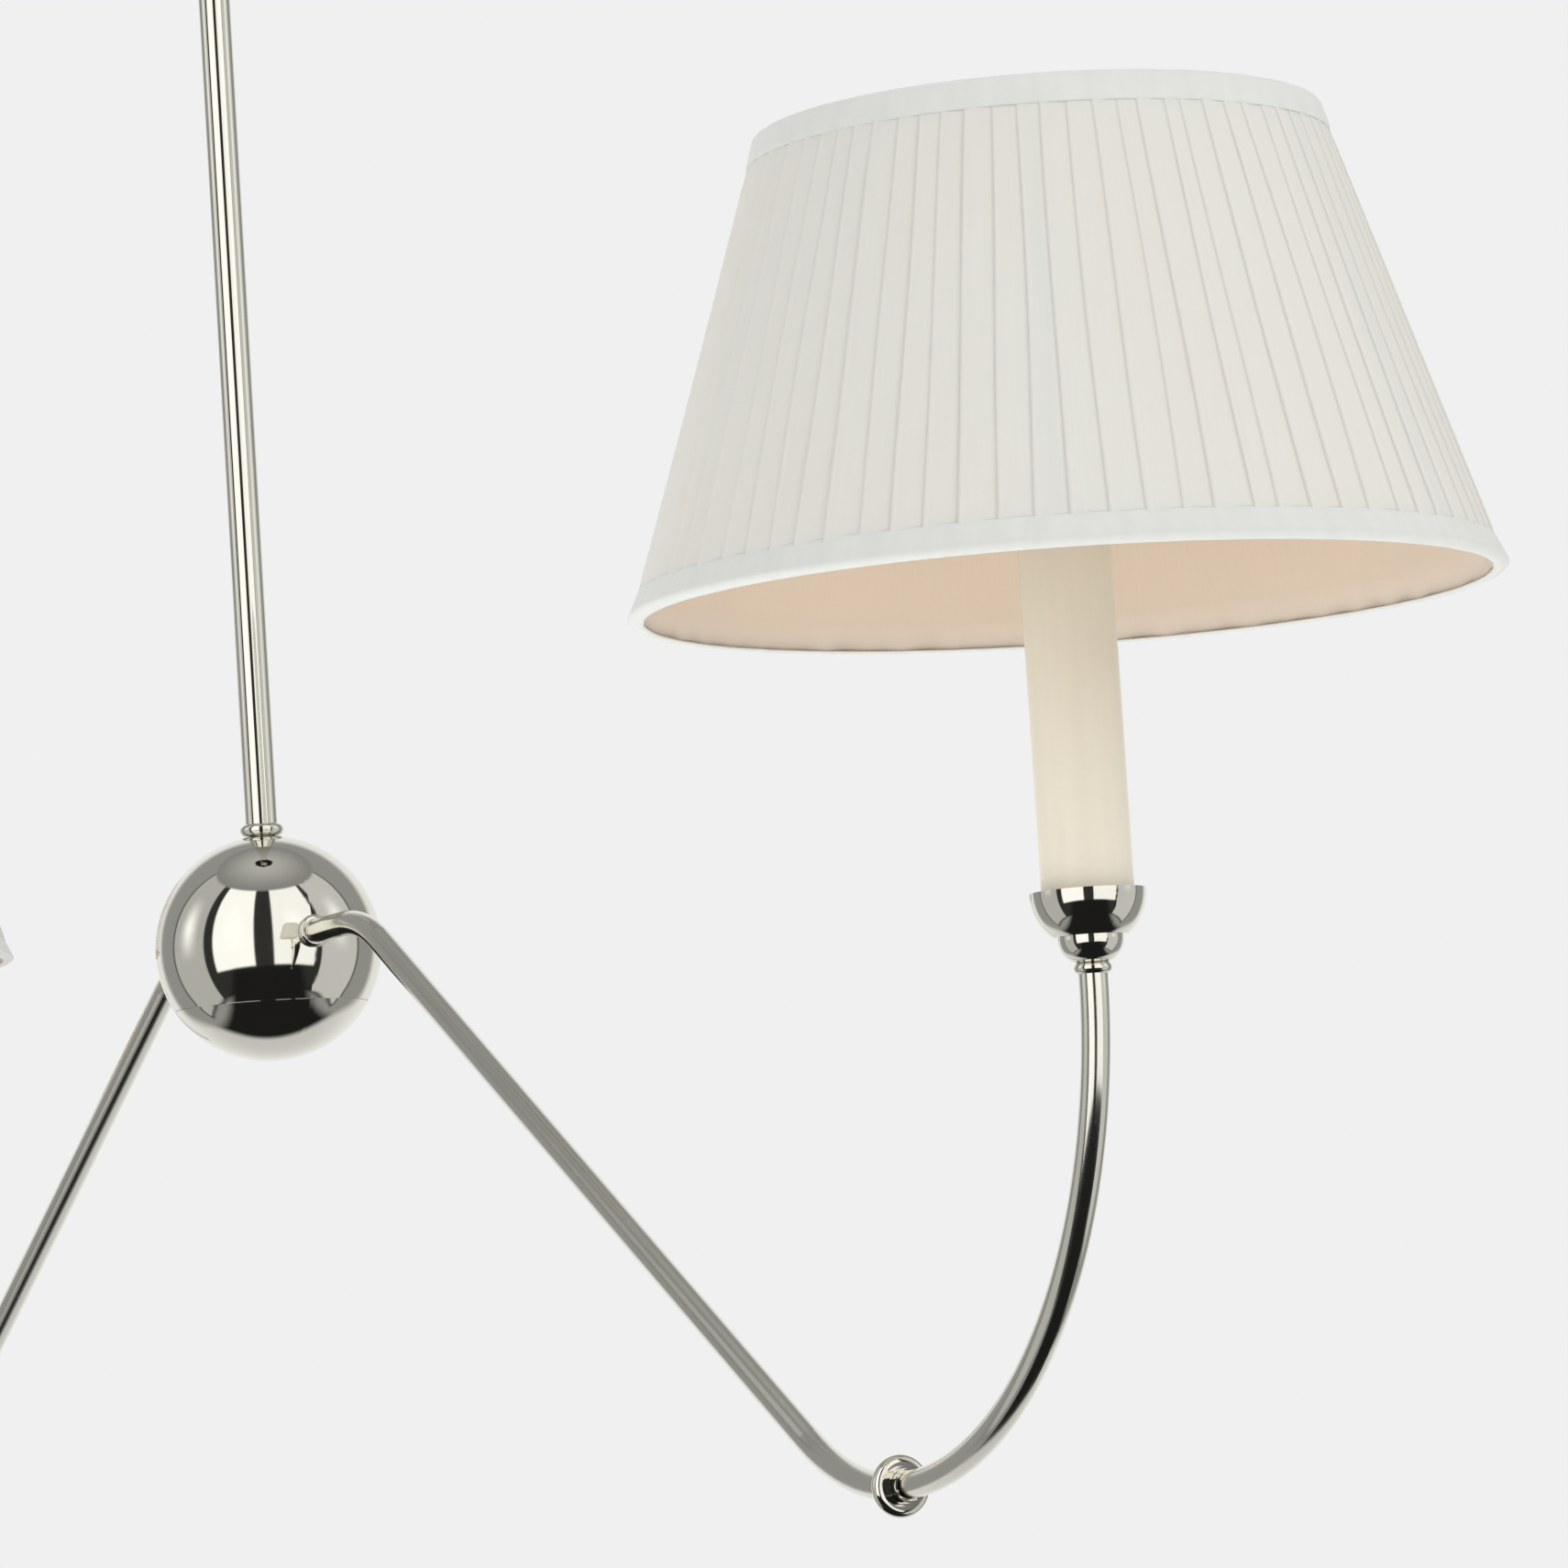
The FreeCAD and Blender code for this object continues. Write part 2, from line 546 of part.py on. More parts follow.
def make_stem():
    """The stem head with its tongue, the stem, the ring at its foot and the pipe into the hub."""
    bore = "(stem_radius - stem_wall)"
    shoulder = f"(-{PIN_LEVEL} - head_drop)"
    tube_top = f"-{STEM_TOP}"
    collar = turned("head_collar", [
        ("nipple_bore", f"{tube_top} - head_spigot"), (f"{bore} - slip", f"{tube_top} - head_spigot"),
        (f"{bore} - slip", tube_top), ("head_radius", tube_top), ("head_radius", shoulder),
        ("nipple_bore", shoulder)])
    tongue = block("tongue_block", "tongue_thick", "2 * ear_radius", "head_drop",
                   f"-{PIN_LEVEL} - head_drop")
    tip = rod_along_x("tongue_tip", "ear_radius", "tongue_thick", "0", f"-{PIN_LEVEL}")
    hole = rod_along_x("tongue_hole", "pin_radius + slip", "2 * tongue_thick", "0", f"-{PIN_LEVEL}")
    tongue = cut("tongue", joined("tongue_blank", [tongue, tip]), hole)
    keep(joined("head", [collar, tongue]), "stem_head")
    ball_top = "(sqrt(ball_radius^2 - stem_radius^2) + free_gap - ceiling_drop)"
    tube = tube_outline("stem_radius", bore, ball_top, tube_top)
    keep(turned("stem", tube), "stem_tube")
    ring = bead_outline("stem_ring_radius", "(stem_radius + slip)", ball_top,
                        f"({ball_top} + stem_ring_height)")
    keep(turned("stem_ring", ring), "stem_ring")
    pipe = tube_outline("nipple_radius", "nipple_bore", "hub_height / 2 - nut_height",
                        "ball_radius + 2 * stem_radius")
    keep(place(turned("hub_nipple", pipe), "0", "-ceiling_drop"), "hub_nipple")


# ---------------------------------------------------------------- ball and hub

def make_ball():
    """The ball's upper shell, with a port for the stem's pipe and one for each arm, and its cap."""
    seam_out = "sqrt(ball_radius^2 - ball_seam^2)"
    seam_in = f"sqrt({BALL_INSIDE}^2 - ball_seam^2)"
    port = "(nipple_radius + 2 * slip)"
    shell = turned("ball_upper", [
        (seam_in, "-ball_seam", BALL_INSIDE, -1), (seam_out, "-ball_seam"),
        (port, f"sqrt(ball_radius^2 - {port}^2)", "ball_radius", 1),
        (port, f"sqrt({BALL_INSIDE}^2 - {port}^2)")])
    ports = rod_along_x("ball_ports", "arm_radius + 2 * slip", "(4 * ball_radius)", "0", "arm_rise")
    keep(place(cut("ball_shell", shell, ports), "0", "-ceiling_drop"), "ball_shell")
    seam = "(ball_seam + 3 * slip)"
    lip_out = f"({seam_in} - free_gap)"
    lip_in = f"({lip_out} - cap_lip_wall)"
    cap = turned("ball_cap", [
        ("0", "-ball_radius"), (f"sqrt(ball_radius^2 - {seam}^2)", f"-{seam}", "ball_radius", 1),
        (lip_out, f"-{seam}"), (lip_out, f"cap_lip_height - {seam}"),
        (lip_in, f"cap_lip_height - {seam}"), (lip_in, f"-sqrt({BALL_INSIDE}^2 - {lip_in}^2)"),
        ("0", f"-{BALL_INSIDE}", BALL_INSIDE, -1)])
    keep(place(cap, "0", "-ceiling_drop"), "ball_cap")


def make_hub():
    """The block that ties the stem's pipe and both arms together, and the arms' locknuts."""
    blank = primitive("Cylinder", "hub_blank", Radius="hub_radius", Height="hub_height")
    blank.setExpression("Placement.Base.z", bound("-hub_height / 2"))
    pipe_hole = primitive("Cylinder", "hub_pipe_hole", Radius="nipple_radius + slip",
                          Height="hub_height")
    pipe_hole.setExpression("Placement.Base.z", bound("hub_height / 2 - nut_height"))
    lead_hole = primitive("Cylinder", "hub_lead_hole", Radius="nipple_bore + slip",
                          Height="hub_height")
    lead_hole.setExpression("Placement.Base.z", bound("arm_rise"))
    cross_hole = rod_along_x("hub_cross_hole", "nipple_bore + slip", "(4 * hub_radius)", "0",
                             "arm_rise")
    seats = []
    for side in (-1, 1):
        middle = f"{side} * (arm_seat - slip + hub_radius)"
        seats.append(rod_along_x("hub_seat", "arm_radius + slip", "(2 * hub_radius)", middle,
                                 "arm_rise"))
    holes = joined("hub_holes", [pipe_hole, lead_hole, cross_hole] + seats)
    keep(place(cut("hub", blank, holes), "0", "-ceiling_drop"), "hub_block")
    reach = f"(sqrt({BALL_INSIDE}^2 - (arm_rise + nut_corner_radius)^2) - free_gap)"
    nuts = []
    for side in (-1, 1):
        prism = primitive("Prism", "arm_nut_prism", Circumradius="nut_corner_radius",
                          Height="nut_height")
        hole = primitive("Cylinder", "arm_nut_hole", Radius="arm_radius + slip",
                         Height="nut_height")
        nut = cut("arm_nut", prism, hole)
        nut.Placement = Placement(Vector(0, 0, 0), Rotation(Vector(0, 1, 0), 90))
        low = f"{reach} - nut_height" if side > 0 else f"-{reach}"
        nut.setExpression("Placement.Base.x", bound(low))
        nut.setExpression("Placement.Base.z", bound("arm_rise - ceiling_drop"))
        nuts.append(nut)
    keep(group("arm_nuts", nuts), "arm_locknuts")


# ---------------------------------------------------------------- arms

def arm_corners(start, end):
    return [(start, "arm_rise"), ("shoulder_reach", "arm_rise", "shoulder_bend"),
            (f"({KNUCKLE_REACH} - elbow_tail)", "-knuckle_drop", "elbow_bend"),
            (end, "-knuckle_drop")]


def make_arm(name, turn, start, end, radii):
    """A tube, or the wires in it, along the arm's bends."""
    body = new_body(name)
    section = new_sketch(body, f"{name}_section", "YZ_Plane", start)
    for radius in radii:
        add_circle(section, radius, "0", "arm_rise")
    path = new_sketch(body, f"{name}_path", "XZ_Plane")
    add_path(path, arm_corners(start, end))
    document.recompute()
    swept(name, path, section)
    return place(body, "0", "-ceiling_drop", turn)


def make_arm_ring(side, turn):
    low = "(ball_radius + 3 * slip)"
    ring = turned(f"arm_ring_{side}", sideways(bead_outline(
        "arm_ring_radius", "(arm_radius + slip)", low, f"({low} + arm_ring_thick)")), "H_Axis")
    keep(place(ring, "0", "arm_rise - ceiling_drop", turn), f"arm_ring_{side}")


def sideways(outline):
    """An outline for turning about X: across and up trade places, and arcs curve the other way."""
    return [(corner[1], corner[0]) + ((corner[2], -corner[3]) if len(corner) > 2 else ())
            for corner in outline]


def make_knuckle(side, turn):
    """The arm's end: a round-edged disc, a small disc and the hollow pivot for the upright."""
    seat = "(arm_radius + slip)"
    bead = "(flange_radius - flange_thick / 2)"
    knuckle = turned(f"knuckle_{side}", [
        ("-flange_thick", seat), ("-knuckle_wall", seat), ("-knuckle_wall", "spigot_bore"),
        ("spigot_length", "spigot_bore"), ("spigot_length", "spigot_radius"),
        ("step_thick", "spigot_radius"), ("step_thick", "step_radius"), ("0", "step_radius"),
        ("0", bead), ("-flange_thick", bead, "half", 1)], "H_Axis")
    return put_knuckle(knuckle, side, turn, f"knuckle_{side}")


def make_ferrule(side, turn):
    low, high = UPRIGHT_START, f"({UPRIGHT_START} + ferrule_thick)"
    bore = "(arm_radius + free_gap + slip)"
    outline = sideways(tube_outline("(arm_radius + ferrule_wall)", bore, low, high))
    return put_knuckle(turned(f"ferrule_{side}", outline, "H_Axis"), side, turn, f"ferrule_{side}")


def put_knuckle(item, side, turn, name):
    across = f"{side_sign(side)} * {KNUCKLE_REACH}"
    return keep(place(item, across, "-(ceiling_drop + knuckle_drop)", turn), name)


def side_sign(side):
    return dict(SIDES)[side]


# ---------------------------------------------------------------- upright and lamp

def put_lamp(item, side, turn, name):
    """Stand a lamp piece on the lower face of its neck ring."""
    across = f"{side_sign(side)} * lamp_reach"
    return keep(place(item, across, "-(ceiling_drop + neck_drop)", turn), name)


def make_upright(name, top, radii, lead_in):
    """The quarter-circle upright, or the wires in it, from its upper end down to the knuckle."""
    body = new_body(name)
    section = new_sketch(body, f"{name}_section", "XY_Plane", top)
    for radius in radii:
        add_circle(section, radius)
    path = new_sketch(body, f"{name}_path", "XZ_Plane")
    start = f"(knuckle_lead + {lead_in})"
    foot_across = f"({start} - {UPRIGHT_BEND})"
    foot_up = f"(-upright_straight - sqrt({UPRIGHT_BEND}^2 - {start}^2))"
    ends = [Vector(number(a), number(b), 0) for a, b in (
        ("0", top), ("0", "-upright_straight"), (foot_across, foot_up))]
    line = path.addGeometry(Part.LineSegment(ends[0], ends[1]), False)
    arc = path.addGeometry(arc_between(ends[1], ends[2], number(UPRIGHT_BEND), -1), False)
    fix_point(path, line, 1, "0", top)
    fix_point(path, line, 2, "0", "-upright_straight")
    path.addConstraint(Sketcher.Constraint("Tangent", line, 2, arc, 2))
    fix_radius(path, arc, UPRIGHT_BEND)
    hold = Sketcher.Constraint("DistanceX", -1, 1, arc, 1, number(foot_across))
    index = path.addConstraint(hold)
    path.setExpression(f"Constraints[{index}]", bound(foot_across))
    document.recompute()
    swept(name, path, section)
    return body


def make_lamp_mount(side, turn):
    """The ring, small bowl, cup and pipe at the upright's top."""
    tube_seat = "(arm_radius + slip)"
    pipe_seat = "(nipple_radius + slip)"
    ring = bead_outline("neck_ring_radius", tube_seat, "0", "neck_ring_height")
    put_lamp(turned(f"neck_ring_{side}", ring), side, turn, f"neck_ring_{side}")
    pipe_foot = "(upright_top + free_gap)"
    dome = turned(f"dome_{side}", [
        (tube_seat, "neck_ring_height"), ("(arm_radius + dome_foot_wall)", "neck_ring_height"),
        ("dome_radius", f"{DOME_TOP} - cup_wall", "dome_height", 1), ("dome_radius", DOME_TOP),
        (pipe_seat, DOME_TOP), (pipe_seat, pipe_foot), (tube_seat, pipe_foot)])
    put_lamp(dome, side, turn, f"small_bowl_{side}")
    floor_out = "sqrt(cup_radius^2 - cup_rise^2)"
    floor_in = f"sqrt({CUP_INSIDE}^2 - (cup_rise - cup_wall)^2)"
    cup = turned(f"cup_{side}", [
        (pipe_seat, DOME_TOP), (floor_out, DOME_TOP), ("cup_radius", CUP_RIM, "cup_radius", 1),
        (CUP_INSIDE, CUP_RIM), (floor_in, f"{DOME_TOP} + cup_wall", CUP_INSIDE, -1),
        (pipe_seat, f"{DOME_TOP} + cup_wall")])
    put_lamp(cup, side, turn, f"candle_cup_{side}")
    pipe = turned(f"pipe_{side}", tube_outline("nipple_radius", "nipple_bore",
                  f"{pipe_foot} + slip", POST_TOP))
    put_lamp(pipe, side, turn, f"lamp_pipe_{side}")


def make_candle(side, turn):
    """The candle sleeve, the lampholder in it, its contact and the two rings for the shade."""
    sleeve = turned(f"sleeve_{side}", tube_outline("candle_radius", CANDLE_BORE, CANDLE_FOOT,
                    "candle_top"))
    put_lamp(sleeve, side, turn, f"candle_sleeve_{side}")
    shoulder = "(candle_top + slip)"
    pipe_seat = "(nipple_radius + slip)"
    floor = f"({CONTACT_SEAT} - knuckle_wall)"
    holder = turned(f"holder_{side}", [
        (pipe_seat, HOLDER_FOOT), ("holder_radius", HOLDER_FOOT), ("holder_radius", shoulder),
        ("holder_thread_radius", shoulder), ("holder_thread_radius", HOLDER_TOP),
        ("holder_bore", HOLDER_TOP), ("holder_bore", CONTACT_SEAT), ("lead_radius", CONTACT_SEAT),
        ("lead_radius", floor), (pipe_seat, floor)])
    put_lamp(holder, side, turn, f"lampholder_{side}")
    contact_step = f"{CONTACT_SEAT} + contact_height / 3"
    contact = turned(f"contact_{side}", [
        ("0", f"{CONTACT_SEAT} + slip"), ("contact_radius", f"{CONTACT_SEAT} + slip"),
        ("contact_radius", contact_step), ("contact_radius / 2", contact_step),
        ("contact_radius / 2", f"{CONTACT_SEAT} + contact_height"),
        ("0", f"{CONTACT_SEAT} + contact_height")])
    put_lamp(contact, side, turn, f"lamp_contact_{side}")
    rings = []
    for low in (LOWER_NUT, UPPER_NUT):
        rings.append(turned(f"shade_nut_{side}", tube_outline(
            "shade_nut_radius", "(holder_thread_radius + slip)", low,
            f"({low} + shade_nut_height)")))
    put_lamp(group("shade_rings", rings), side, turn, f"shade_nuts_{side}")


def make_bulb(side, turn):
    """A candle bulb: screw base and thin glass."""
    base = turned(f"bulb_base_{side}", [
        ("0", BASE_FOOT), ("contact_radius / 2", BASE_FOOT),
        ("base_radius", f"{BASE_FOOT} + contact_radius / 2"), ("base_radius", GLASS_FOOT),
        ("0", GLASS_FOOT)])
    put_lamp(base, side, turn, f"bulb_base_{side}")
    foot = f"({GLASS_FOOT} + slip)"
    up_cos, up_sin = "cos(bulb_taper * 1 deg)", "sin(bulb_taper * 1 deg)"
    low_cos, low_sin = "cos(bulb_flare * 1 deg)", "sin(bulb_flare * 1 deg)"
    belly = f"({foot} + bulb_radius * {low_sin}"
    belly += f" + (bulb_radius * {low_cos} - bulb_mouth) * {low_cos} / {low_sin})"
    tip = f"({belly} + (bulb_radius - bulb_tip_radius) / {up_sin})"
    inner, inner_tip = "(bulb_radius - bulb_wall)", "(bulb_tip_radius - bulb_wall)"
    glass = turned(f"bulb_glass_{side}", [
        (f"bulb_mouth - bulb_wall / {low_cos}", foot), ("bulb_mouth", foot),
        (f"bulb_radius * {low_cos}", f"{belly} - bulb_radius * {low_sin}"),
        (f"bulb_radius * {up_cos}", f"{belly} + bulb_radius * {up_sin}", "bulb_radius", 1),
        (f"bulb_tip_radius * {up_cos}", f"{tip} + bulb_tip_radius * {up_sin}"),
        ("0", f"{tip} + bulb_tip_radius", "bulb_tip_radius", 1),
        ("0", f"{tip} + {inner_tip}"),
        (f"{inner_tip} * {up_cos}", f"{tip} + {inner_tip} * {up_sin}", inner_tip, -1),
        (f"{inner} * {up_cos}", f"{belly} + {inner} * {up_sin}"),
        (f"{inner} * {low_cos}", f"{belly} - {inner} * {low_sin}", inner, -1)])
    put_lamp(glass, side, turn, f"bulb_glass_{side}")


# ---------------------------------------------------------------- shade

def cloth_outline(outside, thick):
    """A thin cone from the shade's lower edge to its upper one, set in from the cover's face."""
    foot, top = f"(shade_foot_radius - {outside})", f"(shade_top_radius - {outside})"
    return [(foot, COVER_FOOT), (top, COVER_TOP), (f"{top} - {thick}", COVER_TOP),
            (f"{foot} - {thick}", COVER_FOOT)]


def tape_outline(radius, level, rise):
    """Edge tape folded over cover, wire and lining; rise is 1 at the foot and -1 at the top."""
    out_face, in_face = f"({radius} + tape_gap)", f"({radius} - {STACK} - tape_gap)"
    corners = [(f"{out_face} + tape_thick", level, "half", rise)]
    for face in (f"{out_face} + tape_thick", out_face):
        corners.append((f"{face} - {rise} * {LEAN} * band_height", f"{level} + {rise} * band_height"))
    corners.append((out_face, level))
    corners.append((in_face, level, "half", -rise))
    for face in (in_face, f"{in_face} - tape_thick"):
        corners.append((f"{face} - {rise} * {LEAN} * tape_inside", f"{level} + {rise} * tape_inside"))
    corners.append((f"{in_face} - tape_thick", level))
    return corners


def leaning_rod(name, foot, foot_level, top, top_level, angle, inward):
    """A rod in a plane through Z, from a radius and level at its foot to those at its top."""
    run = f"({foot} - {top})" if inward else f"({top} - {foot})"
    rise = f"({top_level} - {foot_level})"
    rod = primitive("Cylinder", name, Radius="rib_radius", Height=f"sqrt({run}^2 + {rise}^2)")
    turn = math.radians(angle)
    lean = 1 if inward else -1
    axis = Vector(math.sin(turn) * lean, -math.cos(turn) * lean, 0)
    tilt = math.degrees(math.atan2(number(run), number(rise)))
    rod.Placement = Placement(Vector(0, 0, 0), Rotation(axis, tilt))
    rod.setExpression("Placement.Rotation.Angle", bound(f"atan({run} / {rise})"))
    rod.setExpression("Placement.Base.x", bound(f"{foot} * cos({angle} deg)"))
    rod.setExpression("Placement.Base.y", bound(f"{foot} * sin({angle} deg)"))
    rod.setExpression("Placement.Base.z", bound(foot_level))
    return rod


def make_shade_frame(side, turn):
    """Two wire rings and the ribs between them; the spider hangs from the upper ring."""
    foot, top = f"(shade_foot_radius - {WIRE_SEAT})", f"(shade_top_radius - {WIRE_SEAT})"
    wires = []
    for radius, level in ((foot, COVER_FOOT), (top, COVER_TOP)):
        ring = primitive("Torus", "shade_wire", Radius1=radius, Radius2="wire_radius")
        wires.append(place(ring, "0", level))
    step = 360 // RIB_COUNT
    for index in range(RIB_COUNT):
        angle = index * step + step // 2
        wires.append(leaning_rod("shade_rib", foot, COVER_FOOT, top, COVER_TOP, angle, True))
    frame = joined("shade_wires", wires)
    put_lamp(frame, side, turn, f"shade_frame_{side}")


def make_spider(side, turn):
    """The fitter ring and the arms that carry it, ending against the shade's upper ring."""
    top = f"(shade_top_radius - {WIRE_SEAT})"
    seat = "(fitter_radius - 2 * rib_radius)"
    middle = f"({FITTER_LEVEL} + fitter_thick / 2)"
    step = 360 // SPIDER_COUNT
    arms = []
    for index in range(SPIDER_COUNT):
        arms.append(leaning_rod("spider_arm", seat, middle, top, COVER_TOP, index * step, False))
    fitter = turned(f"fitter_{side}", tube_outline("fitter_radius", "(holder_thread_radius + free_gap)",
                    FITTER_LEVEL, f"({FITTER_LEVEL} + fitter_thick)"))
    ring = primitive("Torus", "spider_seat", Radius1=top, Radius2="wire_radius")
    spider = cut(f"spider_{side}", joined("spider_wires", arms + [fitter]), place(ring, "0", COVER_TOP))
    put_lamp(spider, side, turn, f"shade_spider_{side}")


def make_shade(side, turn):
    """Frame, spider, pleated cover, smooth lining and the edge tapes."""
    make_shade_frame(side, turn)
    make_spider(side, turn)
    cover = turned(f"cover_{side}", cloth_outline("0", "cover_thick"))
    put_lamp(cover, side, turn, f"shade_cover_{side}")
    inside = "(cover_thick + 2 * tape_gap + 2 * wire_radius)"
    lining = turned(f"lining_{side}", cloth_outline(inside, "lining_thick"))
    put_lamp(lining, side, turn, f"shade_lining_{side}")
    tapes = [turned(f"foot_tape_{side}", tape_outline("shade_foot_radius", COVER_FOOT, 1)),
             turned(f"top_tape_{side}", tape_outline("shade_top_radius", COVER_TOP, -1))]
    put_lamp(group("tapes", tapes), side, turn, f"shade_tapes_{side}")


# ---------------------------------------------------------------- wires

def make_leads():
    """Sleeved wires in the stem and both arms."""
    low = "(arm_rise + nipple_bore + slip - ceiling_drop)"
    leads = [turned("stem_lead", [("0", low), ("lead_radius", low), ("lead_radius", f"-{STEM_TOP}"),
                                  ("0", f"-{STEM_TOP}")])]
    start, end = "(nipple_bore + lead_radius)", f"({KNUCKLE_REACH} + spigot_length)"
    for side, sign in SIDES:
        turn = 0 if sign > 0 else 180
        leads.append(make_arm(f"arm_lead_{side}", turn, start, end, ["lead_radius"]))
    keep(group("leads", leads), "fixture_leads")


def make_side(side, sign):
    """Everything of one arm, from the ball to the shade."""
    turn = 0 if sign > 0 else 180
    arm_end = f"({KNUCKLE_REACH} - knuckle_wall - slip)"
    arm_tube = make_arm(f"arm_{side}", turn, "arm_seat", arm_end, ["arm_radius", "arm_radius - arm_wall"])
    keep(arm_tube, f"arm_{side}")
    make_arm_ring(side, turn)
    make_knuckle(side, turn)
    make_ferrule(side, turn)
    upright = make_upright(f"upright_{side}", "upright_top", ["arm_radius", "arm_radius - arm_wall"],
                           UPRIGHT_START)
    put_lamp(upright, side, turn, f"upright_{side}")
    lead = make_upright(f"upright_lead_{side}", f"({CONTACT_SEAT} - knuckle_wall - free_gap)",
                        ["lead_radius"], "(spigot_length + free_gap)")
    put_lamp(lead, side, turn, f"upright_lead_{side}")
    make_lamp_mount(side, turn)
    make_candle(side, turn)
    make_bulb(side, turn)
    make_shade(side, turn)


# ---------------------------------------------------------------- document

def check_document():
    """Stop if any object failed, or if a node is empty or not valid."""
    for item in document.Objects:
        failed = [state for state in item.State if state in ("Invalid", "Error")]
        if failed:
            raise RuntimeError(f"{item.Label} is {failed}")
    for item in nodes:
        shape = item.Shape
        if shape.isNull() or not shape.isValid() or not shape.Solids:
            raise RuntimeError(f"{item.Label} has no valid solid")


def export_nodes():
    os.makedirs("parts", exist_ok=True)
    for item in nodes:
        item.Shape.exportStep(f"parts/{item.Label}.step")
        print(f"{item.Label}: {len(item.Shape.Solids)} solid, {item.Shape.Volume / 1000:.3f} cm3")


fill_sheet()
make_mounting_strap()
make_canopy()
make_canopy_fixings()
make_swivel()
make_stem()
make_ball()
make_hub()
make_leads()
for side_name, side_direction in SIDES:
    make_side(side_name, side_direction)
document.recompute()
check_document()
export_nodes()
print(len(nodes), "nodes")
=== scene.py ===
"""Finishes, cloth pieces and studio for a two-arm hanging light with pleated shades."""
import math

import bmesh
import bpy
from bpy.props import FloatProperty, FloatVectorProperty, IntProperty, PointerProperty
from mathutils import Matrix, Vector


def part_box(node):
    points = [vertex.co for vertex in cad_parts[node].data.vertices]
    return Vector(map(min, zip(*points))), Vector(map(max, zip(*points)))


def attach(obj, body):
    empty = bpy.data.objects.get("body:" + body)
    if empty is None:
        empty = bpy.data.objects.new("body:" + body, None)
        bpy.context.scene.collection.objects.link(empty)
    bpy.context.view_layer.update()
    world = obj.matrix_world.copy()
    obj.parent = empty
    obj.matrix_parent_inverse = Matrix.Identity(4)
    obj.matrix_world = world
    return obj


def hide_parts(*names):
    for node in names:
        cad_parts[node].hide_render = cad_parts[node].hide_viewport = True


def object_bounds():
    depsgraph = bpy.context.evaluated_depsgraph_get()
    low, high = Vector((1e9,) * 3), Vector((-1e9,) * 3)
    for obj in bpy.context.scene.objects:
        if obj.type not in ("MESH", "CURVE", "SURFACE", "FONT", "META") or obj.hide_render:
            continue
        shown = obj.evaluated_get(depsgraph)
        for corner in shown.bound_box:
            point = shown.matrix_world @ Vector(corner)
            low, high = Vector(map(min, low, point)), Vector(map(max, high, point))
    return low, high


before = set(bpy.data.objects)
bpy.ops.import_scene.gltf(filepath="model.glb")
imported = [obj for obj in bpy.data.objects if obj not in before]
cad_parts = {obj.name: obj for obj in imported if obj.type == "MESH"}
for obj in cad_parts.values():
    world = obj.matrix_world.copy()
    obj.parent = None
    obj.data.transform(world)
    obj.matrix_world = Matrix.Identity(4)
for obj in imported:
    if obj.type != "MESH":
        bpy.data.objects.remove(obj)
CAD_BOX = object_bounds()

bl_info = {
    "name": "Pleated Hanging Light",
    "version": (1, 0, 0),
    "blender": (4, 5, 0),
    "location": "View3D > Sidebar > Hanging Light",
    "description": "Finishes, cloth and studio for a two-arm hanging light with pleated shades",
    "category": "Object",
}

SIDES = ("right", "left")
UP = Vector((0, 0, 1))
TAU = 2 * math.pi


# ---------------------------------------------------------------- sizes and colours

class ShadeSizes(bpy.types.PropertyGroup):
    """Sizes of the cloth pieces of a shade."""

    pleats: IntProperty(
        name="Pleats", description="Knife pleats around the cover", default=76, min=12)
    pleat_depth: FloatProperty(
        name="Pleat depth", description="How far a fold stands out at the foot",
        default=0.0007, unit="LENGTH", precision=5)
    cover_cloth: FloatProperty(
        name="Cover cloth", description="Thickness of the cover's cloth",
        default=0.00035, unit="LENGTH", precision=5)
    lining_cloth: FloatProperty(
        name="Lining cloth", description="Thickness of the lining's cloth",
        default=0.0003, unit="LENGTH", precision=5)
    tape_cloth: FloatProperty(
        name="Tape cloth", description="Thickness of the edge tape",
        default=0.00035, unit="LENGTH", precision=5)
    band: FloatProperty(
        name="Band", description="Height of the edge tape outside the cover",
        default=0.0078, unit="LENGTH", precision=5)
    turn_in: FloatProperty(
        name="Turn-in", description="Height of the upper tape inside the lining",
        default=0.0042, unit="LENGTH", precision=5)
    flare: FloatProperty(
        name="Flare", description="How far the foot's band leans out at its lower edge",
        default=0.0009, unit="LENGTH", precision=5)


